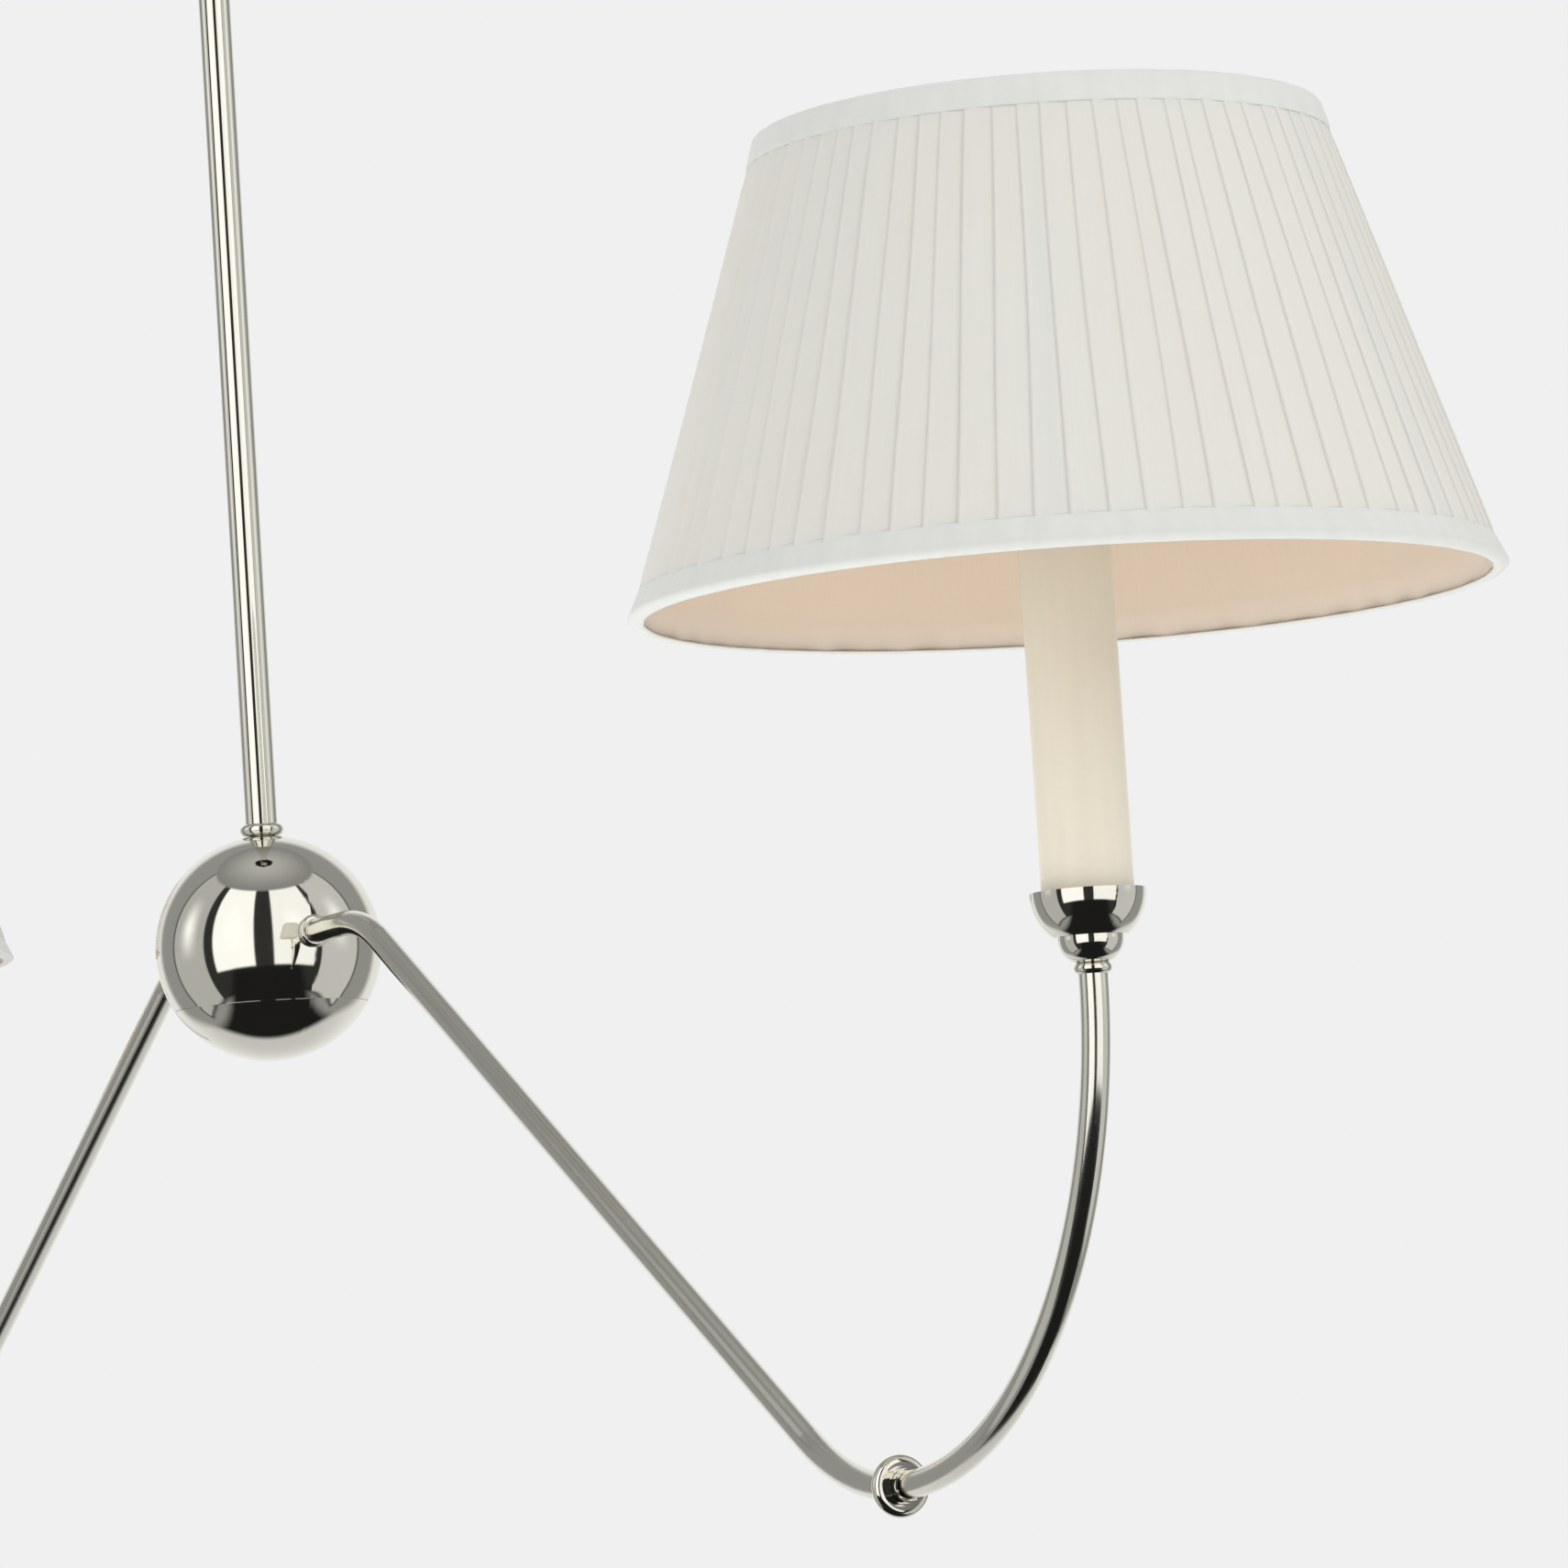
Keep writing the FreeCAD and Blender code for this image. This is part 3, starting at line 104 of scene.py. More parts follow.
class FinishColours(bpy.types.PropertyGroup):
    """Colours of the light's finishes."""

    nickel: FloatVectorProperty(
        name="Nickel", description="Polished nickel plate", default=(0.765, 0.75, 0.67),
        subtype="COLOR")
    zinc: FloatVectorProperty(
        name="Zinc", description="Zinc plate on the hidden steel", default=(0.58, 0.59, 0.6),
        subtype="COLOR")
    brass: FloatVectorProperty(
        name="Brass", description="Lamp contact and bulb base", default=(0.8, 0.62, 0.33),
        subtype="COLOR")
    holder: FloatVectorProperty(
        name="Holder", description="Moulded lampholder and shade rings", default=(0.022, 0.021, 0.02),
        subtype="COLOR")
    ivory: FloatVectorProperty(
        name="Ivory", description="Candle sleeve", default=(0.78, 0.73, 0.61), subtype="COLOR")
    opal: FloatVectorProperty(
        name="Opal", description="Frosted bulb", default=(0.93, 0.92, 0.88), subtype="COLOR")
    cover: FloatVectorProperty(
        name="Cover", description="Pleated cloth", default=(0.9, 0.925, 0.9), subtype="COLOR")
    lining: FloatVectorProperty(
        name="Lining", description="Lining cloth", default=(0.95, 0.84, 0.71), subtype="COLOR")
    tape: FloatVectorProperty(
        name="Tape", description="Edge tape", default=(0.8, 0.815, 0.785), subtype="COLOR")
    wire: FloatVectorProperty(
        name="Wire", description="Plated wire of the shade frame", default=(0.6, 0.6, 0.58),
        subtype="COLOR")
    sleeve: FloatVectorProperty(
        name="Wire sleeve", description="Woven sleeve of the wires", default=(0.72, 0.7, 0.64),
        subtype="COLOR")


class StudioSetup(bpy.types.PropertyGroup):
    """Floor, lights and camera."""

    backdrop: FloatProperty(
        name="Backdrop", description="Brightness of the plain backdrop", default=0.871)
    ambient: FloatProperty(
        name="Ambient", description="Soft light from all round", default=0.79)
    key_power: FloatProperty(
        name="Key light", description="Large soft light to the camera's right", default=18.0,
        unit="POWER")
    fill_power: FloatProperty(
        name="Fill light", description="Soft light to the camera's left", default=13.0, unit="POWER")
    rear_power: FloatProperty(
        name="Rear light", description="Soft light behind, which the shades let through",
        default=30.0, unit="POWER")
    floor_power: FloatProperty(
        name="Floor bounce", description="Soft light sent up from below", default=5.5, unit="POWER")
    eye: FloatVectorProperty(
        name="Camera", description="Where the camera stands", default=(2.8272, -1.2116, -0.841),
        unit="LENGTH")
    sight: FloatVectorProperty(
        name="Sight line", description="The way the camera looks", default=(-0.8907, 0.4546, 0.0954))
    roll: FloatProperty(
        name="Roll", description="The camera's lean", default=math.radians(-3.66), unit="ROTATION")
    lens: FloatProperty(
        name="Lens", description="Focal length in millimetres", default=179.9)


# ---------------------------------------------------------------- shader nodes

class Value:
    """A node's output that takes part in sums: each operator adds one Math node."""

    def __init__(self, nodes, socket):
        self.nodes = nodes
        self.socket = socket

    def __add__(self, other):
        return self.nodes.math("ADD", self, other)

    def __sub__(self, other):
        return self.nodes.math("SUBTRACT", self, other)

    def __rsub__(self, other):
        return self.nodes.math("SUBTRACT", other, self)

    def __mul__(self, other):
        return self.nodes.math("MULTIPLY", self, other)

    __radd__ = __add__
    __rmul__ = __mul__


class Nodes:
    """Adds nodes to one node tree."""

    def __init__(self, tree):
        self.tree = tree
        tree.nodes.clear()

    def add(self, kind, settings=(), inputs=(), output=0):
        """One node: its settings first, then the values or links of its sockets."""
        node = self.tree.nodes.new(kind)
        for name, value in dict(settings).items():
            setattr(node, name, value)
        self.feed(node, inputs)
        return Value(self, node.outputs[output])

    def feed(self, node, inputs):
        """Values are set on a node's sockets, and other nodes' outputs are linked to them."""
        for name, value in dict(inputs).items():
            if isinstance(value, Value):
                self.tree.links.new(value.socket, node.inputs[name])
            else:
                node.inputs[name].default_value = value

    def math(self, operation, first, second=0.0):
        return self.add("ShaderNodeMath", {"operation": operation}, {0: first, 1: second})

    def dot(self, vector, axis):
        return self.add("ShaderNodeVectorMath", {"operation": "DOT_PRODUCT"},
                        {0: vector, 1: axis}, "Value")

    def stretch(self, vector, scale):
        return self.add("ShaderNodeVectorMath", {"operation": "MULTIPLY"}, {0: vector, 1: scale})

    def step(self, value, low, high, start=0.0, end=1.0):
        """A smooth change from start to end as a value goes from low to high."""
        return self.add("ShaderNodeMapRange", {"interpolation_type": "SMOOTHSTEP"}, {
            "Value": value, "From Min": low, "From Max": high, "To Min": start, "To Max": end})

    def band(self, value, low, high, soft):
        return self.step(value, low - soft, low + soft) * self.step(value, high - soft, high + soft, 1, 0)

    def noise(self, vector, scale, detail=3.0):
        return self.add("ShaderNodeTexNoise", (), {"Vector": vector, "Scale": scale, "Detail": detail})

    def blend(self, amount, first, second):
        """A colour between two others."""
        return self.add("ShaderNodeMix", {"data_type": "RGBA"}, {
            0: amount, 6: colour(first), 7: colour(second)}, 2)

    def bump(self, height, distance, strength=1.0):
        return self.add("ShaderNodeBump", (), {
            "Height": height, "Distance": distance, "Strength": strength}, "Normal")


class Finish(Nodes):
    """A material with one main shader."""

    def __init__(self, name):
        self.material = bpy.data.materials.new(name)
        self.material.use_nodes = True
        super().__init__(self.material.node_tree)
        self.shader = self.tree.nodes.new("ShaderNodeBsdfPrincipled")
        self.output = self.tree.nodes.new("ShaderNodeOutputMaterial")
        self.tree.links.new(self.shader.outputs[0], self.output.inputs["Surface"])

    def surface(self, **sockets):
        """Sets or links the main shader's sockets, whose names have a _ for each space."""
        self.feed(self.shader, {name.replace("_", " "): value for name, value in sockets.items()})

    def place(self):
        return self.add("ShaderNodeTexCoord", (), (), "Object")

    def cloth_place(self):
        return self.add("ShaderNodeUVMap", {"uv_map": "cloth"})

    def axis(self, vector, name):
        return self.add("ShaderNodeSeparateXYZ", (), {"Vector": vector}, name)

    def let_light_through(self, tint, share):
        """Part of the light passes through the cloth."""
        glow = self.tree.nodes.new("ShaderNodeBsdfTranslucent")
        glow.inputs["Color"].default_value = colour(tint)
        both = self.tree.nodes.new("ShaderNodeMixShader")
        both.inputs[0].default_value = share
        self.tree.links.new(self.shader.outputs[0], both.inputs[1])
        self.tree.links.new(glow.outputs[0], both.inputs[2])
        self.tree.links.new(both.outputs[0], self.output.inputs["Surface"])


def colour(value):
    """A colour with its fourth number, or a link as it is."""
    return value if isinstance(value, Value) else (*value[:3], 1.0)


def shaded(tone, share):
    """A colour made darker or lighter."""
    return tuple(min(1.0, part * share) for part in tone)


# ---------------------------------------------------------------- finishes

def nickel_plate(colours, name="polished_nickel_finish", polish=0.035):
    """Nickel plate, with the faint haze and waviness that buffing leaves; drawn tube is less smooth."""
    finish = Finish(name)
    place = finish.place()
    haze = finish.noise(place, 34.0)
    scuffs = finish.noise(finish.stretch(place, (90.0, 90.0, 700.0)), 1.0, 5.0)
    finish.surface(
        Base_Color=finish.blend(haze, shaded(colours.nickel, 0.96), shaded(colours.nickel, 1.03)),
        Metallic=1.0,
        Roughness=polish + haze * 0.03 + finish.step(scuffs, 0.6, 0.75) * 0.03,
        Normal=finish.bump(finish.noise(place, 16.0, 1.0), 0.00012, 0.35))
    return finish.material


def zinc_plate(colours):
    """Bright zinc with the soft patches of its crystals."""
    finish = Finish("zinc_steel_finish")
    place = finish.place()
    crystals = finish.add("ShaderNodeTexVoronoi", (), {"Vector": place, "Scale": 260.0}, "Distance")
    patches = finish.noise(place, 70.0)
    finish.surface(
        Base_Color=finish.blend(crystals, shaded(colours.zinc, 0.85), shaded(colours.zinc, 1.12)),
        Metallic=1.0,
        Roughness=0.24 + patches * 0.22,
        Normal=finish.bump(crystals, 0.00005, 0.5))
    return finish.material


def threaded_brass(colours):
    """Rolled brass, with the round thread of a small bulb base."""
    finish = Finish("contact_brass_finish")
    place = finish.place()
    thread_pitch = 0.0036
    wave = finish.math("SINE", finish.axis(place, "Z") * (TAU / thread_pitch))
    tarnish = finish.noise(place, 120.0)
    finish.surface(
        Base_Color=finish.blend(tarnish, shaded(colours.brass, 0.7), colours.brass),
        Metallic=1.0,
        Roughness=0.2 + tarnish * 0.25,
        Normal=finish.bump(wave, 0.0005, 0.8))
    return finish.material


def moulded_holder(colours):
    """Black moulding with a dull grain and the fine thread of the shade rings."""
    finish = Finish("lampholder_black_finish")
    place = finish.place()
    grain = finish.noise(place, 900.0)
    thread = finish.math("SINE", finish.axis(place, "Z") * (TAU / 0.0016))
    finish.surface(
        Base_Color=finish.blend(grain, shaded(colours.holder, 0.6), shaded(colours.holder, 1.9)),
        Roughness=0.32 + grain * 0.2,
        Normal=finish.bump(thread * 0.6 + grain * 0.4, 0.0002, 0.6))
    return finish.material


def ivory_sleeve(colours):
    """Satin ivory tube with a faint upright grain and a little tone from handling."""
    finish = Finish("candle_ivory_finish")
    place = finish.place()
    grain = finish.noise(finish.stretch(place, (420.0, 420.0, 14.0)), 1.0, 4.0)
    cloud = finish.noise(place, 22.0)
    finish.surface(
        Base_Color=finish.blend(grain * 0.5 + cloud * 0.5, shaded(colours.ivory, 0.94),
                                shaded(colours.ivory, 1.05)),
        Roughness=0.36 + cloud * 0.12,
        Coat_Weight=0.25,
        Coat_Roughness=0.3,
        Subsurface_Weight=0.12,
        Subsurface_Scale=0.002,
        Normal=finish.bump(grain, 0.00006, 0.5))
    return finish.material


def frosted_glass(colours):
    """Opal bulb: a fine frost, and a colour darker at the neck and lighter toward the tip."""
    finish = Finish("bulb_glass_finish")
    place = finish.place()
    frost = finish.noise(place, 1500.0, 2.0)
    height = finish.step(finish.axis(place, "Z"), -0.518, -0.445)
    finish.surface(
        Base_Color=finish.blend(height, shaded(colours.opal, 0.93), colours.opal),
        Roughness=0.26 + frost * 0.2,
        Subsurface_Weight=0.3,
        Subsurface_Scale=0.004,
        Coat_Weight=0.3,
        Normal=finish.bump(frost, 0.00002, 0.4))
    return finish.material


def plated_wire(colours):
    """Drawn wire with a thin dull plate."""
    finish = Finish("shade_wire_finish")
    place = finish.place()
    patches = finish.noise(place, 150.0)
    finish.surface(
        Base_Color=finish.blend(patches, shaded(colours.wire, 0.85), shaded(colours.wire, 1.1)),
        Metallic=0.85,
        Roughness=0.3 + patches * 0.2,
        Normal=finish.bump(finish.noise(place, 800.0), 0.00004, 0.5))
    return finish.material


def woven_sleeve(colours):
    """Braided sleeve over the wires, with painted shade in the hollows between its strands."""
    finish = Finish("wire_sleeve_finish")
    place = finish.place()
    braid_pitch = 0.0011
    along = finish.axis(place, "Z") + finish.axis(place, "X")
    across = finish.axis(place, "Z") - finish.axis(place, "X")
    strands = (finish.math("SINE", along * (TAU / braid_pitch))
               * finish.math("SINE", across * (TAU / braid_pitch)))
    # Painted shade: the colour darkens where the braid's bump is low, in the hollows between strands.
    finish.surface(
        Base_Color=finish.blend(finish.step(strands, -0.6, 0.6), shaded(colours.sleeve, 0.7), colours.sleeve),
        Roughness=0.8,
        Normal=finish.bump(strands, 0.0002, 0.8))
    return finish.material


def weave(finish, threads):
    """The over-and-under of plain cloth, and the unevenness of its yarn."""
    place = finish.cloth_place()
    across = finish.math("SINE", finish.axis(place, "X") * (TAU * threads))
    along = finish.math("SINE", finish.axis(place, "Y") * (TAU * threads))
    slubs = finish.noise(finish.stretch(place, (2200.0, 26.0, 1.0)), 1.0, 4.0)
    return across * along, slubs


def pleated_cloth(colours):
    """Cover cloth: upright yarn, a painted shadow line and a painted highlight at each fold, and a painted
    warm glow of light through the cloth where it is one layer thick and in soft patches.
    """
    finish = Finish("shade_cloth_finish")
    threads, slubs = weave(finish, 2600.0)
    fold = finish.add("ShaderNodeAttribute", {"attribute_name": "fold"}, (), "Fac")
    # Painted shadow: edge darkens the cloth at each fold's edge, as the shadow the fold casts.
    edge = finish.step(fold, 0.0, 0.05, 1, 0)
    # Painted highlight: lit_edge lightens a narrow strip just beside each fold's edge.
    lit_edge = finish.band(fold, 0.1, 0.2, 0.05)
    # Painted glow: the one-layer part of each pleat is painted warmer, as light coming through the thin
    # cloth.
    painted_one_layer_glow = finish.step(fold, 0.8, 0.97)
    # Painted glow: soft warm patches, as light coming through the cloth.
    glow = finish.step(finish.noise(finish.stretch(finish.place(), (1.0, 1.0, 0.5)), 22.0, 1.0), 0.45, 0.7)
    cloth = finish.blend(slubs, shaded(colours.cover, 0.95), shaded(colours.cover, 1.04))
    # The warm colour of the painted glow of light through the cloth.
    painted_glow_tint = (colours.cover[0] * 1.05, colours.cover[1] * 0.93, colours.cover[2] * 0.8)
    cloth = finish.blend(glow * 0.12 + painted_one_layer_glow * (glow * 0.5 + 0.08), cloth, painted_glow_tint)
    # The painted highlight beside each fold.
    cloth = finish.blend(lit_edge * 0.4, cloth, (0.95, 0.95, 0.93))
    # The fold's painted shadow, in a darker copy of the cover colour.
    cloth = finish.blend(edge * 0.5, cloth, shaded(colours.cover, 0.62))
    finish.surface(
        Base_Color=cloth,
        Roughness=0.62 + slubs * 0.15,
        Sheen_Weight=0.15,
        Sheen_Roughness=0.4,
        Normal=finish.bump(threads * 0.3 + slubs * 0.7, 0.00016, 0.6))
    finish.let_light_through((0.96, 0.91, 0.83), 0.36)
    return finish.material


def lining_cloth(colours):
    """Smooth lining with a soft sheen and drawn yarns."""
    finish = Finish("shade_lining_finish")
    threads, slubs = weave(finish, 3200.0)
    finish.surface(
        Base_Color=finish.blend(slubs, shaded(colours.lining, 0.93), shaded(colours.lining, 1.05)),
        Roughness=0.5 + slubs * 0.12,
        Sheen_Weight=0.25,
        Normal=finish.bump(threads * 0.4 + slubs * 0.6, 0.00008, 0.5))
    finish.let_light_through((0.97, 0.84, 0.7), 0.36)
    return finish.material


def tape_cloth(colours):
    """Bias-cut tape: its weave runs slantwise."""
    finish = Finish("shade_tape_finish")
    place = finish.cloth_place()
    across, along = finish.axis(place, "X"), finish.axis(place, "Y")
    threads = (finish.math("SINE", (across + along) * (TAU * 1700.0))
               * finish.math("SINE", (across - along) * (TAU * 1700.0)))
    puckers = finish.noise(finish.stretch(place, (160.0, 40.0, 1.0)), 1.0, 3.0)
    finish.surface(
        Base_Color=finish.blend(puckers, shaded(colours.tape, 0.93), shaded(colours.tape, 1.05)),
        Roughness=0.68 + puckers * 0.1,
        Sheen_Weight=0.12,
        Normal=finish.bump(threads * 0.2 + puckers * 0.8, 0.0004, 0.6))
    finish.let_light_through((0.95, 0.86, 0.72), 0.12)
    return finish.material


def dress(slot, material, names=()):
    """Every CAD piece of one slot takes its finish, or only the named ones."""
    for name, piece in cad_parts.items():
        if names and name not in names:
            continue
        for place in piece.material_slots:
            if place.material and place.material.name.split(".")[0] == slot:
                place.material = material


# ---------------------------------------------------------------- cloth shapes

def axis_of(side):
    """The lamp's upright axis on one side."""
    low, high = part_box(f"shade_cover_{side}")
    return Vector(((low.x + high.x) / 2, 0, 0))


def rim_radius(node, centre, level):
    """How far a turned CAD piece reaches from its axis at one level."""
    reach = 0.0
    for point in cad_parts[node].data.vertices:
        if abs(point.co.z - level) < 0.0002:
            reach = max(reach, math.hypot(point.co.x - centre.x, point.co.y))
    return reach


def cone_of(node, side):
    """Radius and level at the foot and at the top of a turned cloth piece."""
    low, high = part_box(node)
    centre = axis_of(side)
    return (rim_radius(node, centre, low.z), low.z, rim_radius(node, centre, high.z), high.z)


def chance(index, salt):
    """A number from 0 to 1 that is always the same for the same pleat."""
    return math.sin(index * 12.9898 + salt * 78.233) * 43758.5453 % 1.0


def eased(value, low, high):
    """0 below low, 1 above high and smooth between."""
    share = min(1.0, max(0.0, (value - low) / (high - low)))
    return share * share * (3 - 2 * share)


def cloth_cone(columns, rows, foot, foot_level, top, top_level):
    """An open cone of quads about Z."""
    shape = bmesh.new()
    height = top_level - foot_level
    bmesh.ops.create_cone(
        shape, segments=columns, radius1=foot, radius2=top, depth=height,
        matrix=Matrix.Translation((0, 0, foot_level + height / 2)))
    uprights = [edge for edge in shape.edges
                if abs(edge.verts[0].co.z - edge.verts[1].co.z) > height / 2]
    bmesh.ops.subdivide_edges(shape, edges=uprights, cuts=rows - 1)
    return shape


def unroll(shape, radius):
    """Cloth coordinates in metres: around the piece at one radius, and up."""
    layer = shape.loops.layers.uv.new("cloth")
    for face in shape.faces:
        middle = face.calc_center_median()
        turn = math.atan2(middle.y, middle.x)
        for corner in face.loops:
            point = corner.vert.co
            swing = math.atan2(point.y, point.x) - turn
            swing -= TAU * round(swing / TAU)
            corner[layer].uv = ((turn + swing) * radius, point.z)


def make_cloth(name, shape, side, material, thickness, offset=0.0):
    """A cloth piece on one shade, with its thickness."""
    bmesh.ops.translate(shape, verts=shape.verts, vec=axis_of(side))
    for face in shape.faces:
        face.smooth = True
    mesh = bpy.data.meshes.new(name)
    shape.to_mesh(mesh)
    shape.free()
    mesh.materials.append(material)
    piece = bpy.data.objects.new(name, mesh)
    bpy.context.collection.objects.link(piece)
    wall = piece.modifiers.new("cloth", "SOLIDIFY")
    wall.thickness = thickness
    wall.offset = offset
    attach(piece, f"shade_{side}")
    return piece


# Around one pleat: where along it, as a share of its width, and how far out.
PLEAT_LINE = ((0.0, 0.0), (0.035, 0.9), (0.12, 1.0), (0.3, 0.82), (0.5, 0.56), (0.72, 0.28), (0.9, 0.08))


def pleat_drift(pleat, rise):
    """How far a fold strays from its even place, as a share of a pleat's width."""
    return (0.3 * (chance(pleat, 2) - 0.5) + 0.14 * (chance(pleat, 3) - 0.5) * math.sin(math.pi * rise)
            + 0.03 * math.sin(rise * 6 + pleat * 1.7))


def pleat_cover(side, sizes):
    """The cover: a cone whose columns are moved into knife pleats."""
    foot, foot_level, top, top_level = cone_of(f"shade_cover_{side}", side)
    steps = len(PLEAT_LINE)
    columns = sizes.pleats * steps
    shape = cloth_cone(columns, 30, foot, foot_level, top, top_level)
    fold = shape.verts.layers.float.new("fold")
    height = top_level - foot_level
    for point in shape.verts:
        column = round(math.atan2(point.co.y, point.co.x) / TAU * columns) % columns
        pleat, place = divmod(column, steps)
        share, out = PLEAT_LINE[place]
        rise = (point.co.z - foot_level) / height
        pressed = eased(rise, 0.0, 0.09) * eased(1 - rise, 0.0, 0.12)
        slack = 0.7 + 0.6 * chance(pleat, 1)
        depth = sizes.pleat_depth * slack * (0.35 + 0.65 * pressed) * (1 - 0.35 * rise)
        drift = (1 - share) * pleat_drift(pleat, rise) + share * pleat_drift((pleat + 1) % sizes.pleats, rise)
        turn = (pleat + share + drift) / sizes.pleats * TAU
        swell = 0.0005 * math.sin(math.pi * rise) * math.sin(turn * 5 + 1.3)
        radius = math.hypot(point.co.x, point.co.y) - 0.0005 + depth * out + swell
        point.co.x, point.co.y = radius * math.cos(turn), radius * math.sin(turn)
        point[fold] = share
    unroll(shape, foot)
    slant = math.hypot(foot - top, height)
    return shape, (TAU * foot, slant), math.pi * (foot + top) * slant


def smooth_lining(side):
    """The lining: a plain cone, drawn a little hollow between the ribs."""
    foot, foot_level, top, top_level = cone_of(f"shade_lining_{side}", side)
    tuck = 0.0016
    foot += tuck * (foot - top) / (top_level - foot_level)
    foot_level -= tuck
    shape = cloth_cone(240, 16, foot, foot_level, top, top_level)
    height = top_level - foot_level
    for point in shape.verts:
        rise = (point.co.z - foot_level) / height
        turn = math.atan2(point.co.y, point.co.x)
        hollow = 0.0009 * math.sin(math.pi * rise) * (0.5 - 0.5 * math.cos(turn * 6 + math.pi))
        gather = 0.00015 * math.sin(turn * 57) * eased(abs(2 * rise - 1), 0.6, 1.0)
        radius = math.hypot(point.co.x, point.co.y) - 0.0004 - hollow + gather
        point.co.x, point.co.y = radius * math.cos(turn), radius * math.sin(turn)
    unroll(shape, foot)
    slant = math.hypot(foot - top, height)
    return shape, (TAU * foot, slant), math.pi * (foot + top) * slant


def edge_tape(side, sizes, end):
    """The tape folded over one edge of a shade: end is 1 for the foot and -1 for the top."""
    cover_foot, cover_low, cover_top, cover_high = cone_of(f"shade_cover_{side}", side)
    lining_foot, _, lining_top, _ = cone_of(f"shade_lining_{side}", side)
    lean = (cover_foot - cover_top) / (cover_high - cover_low)
    outer, inner, level = ((cover_foot, lining_foot, cover_low) if end == 1
                           else (cover_top, lining_top, cover_high))
    stand_off = 0.0003
    outer += stand_off
    inner -= 0.0009
    middle, half = (outer + inner) / 2, (outer - inner) / 2
    flare = sizes.flare if end == 1 else 0.0001
    line = []
    # up the outside from the edge: height as a share of the band, and how far in from its face
    for share, sink in ((1.0, 0.0006), (0.93, 0.00035), (0.75, 0.0001), (0.5, 0.0), (0.25, 0.0)):
        up = sizes.band * share
        line.append((outer - sink - end * lean * up + flare * (1 - share) ** 2, level + end * up))
    turns = 12
    last = 0.78 if end == 1 else 1.0
    for step in range(turns + 1):
        angle = math.pi * last * step / turns
        bulge = half + flare * (1 + math.cos(angle)) / 2
        line.append((middle + bulge * math.cos(angle), level - end * half * math.sin(angle)))
    if end == -1:
        for share in (0.5, 1.0):
            line.append((inner + lean * sizes.turn_in * share, level - sizes.turn_in * share))
    shape = bmesh.new()
    points = [shape.verts.new((across, 0, up)) for across, up in line]
    threads = [shape.edges.new(pair) for pair in zip(points, points[1:])]
    bmesh.ops.spin(shape, geom=points + threads, cent=(0, 0, 0), axis=UP, angle=TAU, steps=240,
                   use_merge=True)
    for point in shape.verts:
        turn = math.atan2(point.co.y, point.co.x)
        pucker = 1 + (0.00012 * math.sin(turn * 41 + 2 * math.sin(turn * 7))) / middle
        point.co.x *= pucker
        point.co.y *= pucker
    bmesh.ops.recalc_face_normals(shape, faces=shape.faces)
    unroll(shape, middle)
    width = sum(math.dist(first, second) for first, second in zip(line, line[1:]))
    return shape, (TAU * middle, width)


# ---------------------------------------------------------------- studio

def studio_world(setup, toward, across):
    """A pale backdrop; in reflections, four tall soft panels, a grey ceiling and a dark floor."""
    world = bpy.data.worlds.new("studio")
    world.use_nodes = True
    nodes = Nodes(world.node_tree)
    way = nodes.add("ShaderNodeTexCoord", (), (), "Generated")
    near = nodes.dot(way, toward)
    aside = nodes.dot(way, across)
    up = nodes.dot(way, UP)
    azimuth = nodes.math("ARCTAN2", aside, near) * math.degrees(1.0)
    elevation = nodes.math("ARCSINE", up) * math.degrees(1.0)
    panels = (
        # start, end, foot, brightness at the edge, added brightness in its middle
        (-108.0, -66.0, -44.0, 0.5, 0.9),
        (-55.0, -11.0, -21.0, 1.25, 0.15),
        (9.0, 54.0, -21.0, 1.15, 0.2),
        (60.0, 106.0, -44.0, 0.62, 0.7),
    )
    room, gap, dark, ceiling_foot = 0.34, 0.035, 0.014, 57.0
    wall = nodes.band(azimuth, -110.0, 108.0, 2.0) * nodes.band(elevation, -46.0, ceiling_foot, 2.0)
    light = wall * (gap - room) + room
    for start, end, foot, edge, core in panels:
        middle = (start + end) / 2
        spot = (nodes.band(azimuth, middle - 6, middle + 6, 9.0) * nodes.band(elevation, 5.0, 30.0, 14.0))
        panel = nodes.band(azimuth, start, end, 1.2) * nodes.band(elevation, foot, ceiling_foot, 1.5)
        light = light + panel * (spot * core + edge)
    ceiling = nodes.step(elevation, ceiling_foot - 2.0, ceiling_foot + 2.0)
    light = light * (1 - ceiling) + ceiling * nodes.step(elevation, 50.0, 90.0, 0.25, 0.55)
    dark_floor = (nodes.step(up, -0.4, -0.33, 1, 0) * nodes.band(aside, -0.56, 0.58, 0.07)
                  * nodes.step(near, -0.42, -0.34))
    light = light * (1 - dark_floor) + dark_floor * dark
    below = nodes.step(up, -0.9, -0.25, 1, 0)
    behind = nodes.step(near + below * -0.42, -0.82, -0.66, 1, 0)
    light = light * (1 - behind) + behind * (0.92 - below * 0.24)
    path = nodes.tree.nodes.new("ShaderNodeLightPath")
    seen = Value(nodes, path.outputs["Is Camera Ray"])
    mirrored = Value(nodes, path.outputs["Is Glossy Ray"])
    glow = light * mirrored + (1 - mirrored) * setup.ambient
    glow = glow * (1 - seen) + seen * setup.backdrop
    backdrop = nodes.add("ShaderNodeBackground", (), {"Color": glow})
    output = nodes.tree.nodes.new("ShaderNodeOutputWorld")
    nodes.tree.links.new(backdrop.socket, output.inputs["Surface"])
    bpy.context.scene.world = world


def soft_light(name, place, aim, power, size):
    """A square soft light that lights the object but isn't seen in it."""
    lamp = bpy.data.lights.new(name, "AREA")
    lamp.energy = power
    lamp.size = size
    light = bpy.data.objects.new(name, lamp)
    light.location = place
    light.rotation_euler = (aim - place).to_track_quat("-Z", "Y").to_euler()
    light.visible_camera = False
    light.visible_glossy = False
    bpy.context.collection.objects.link(light)


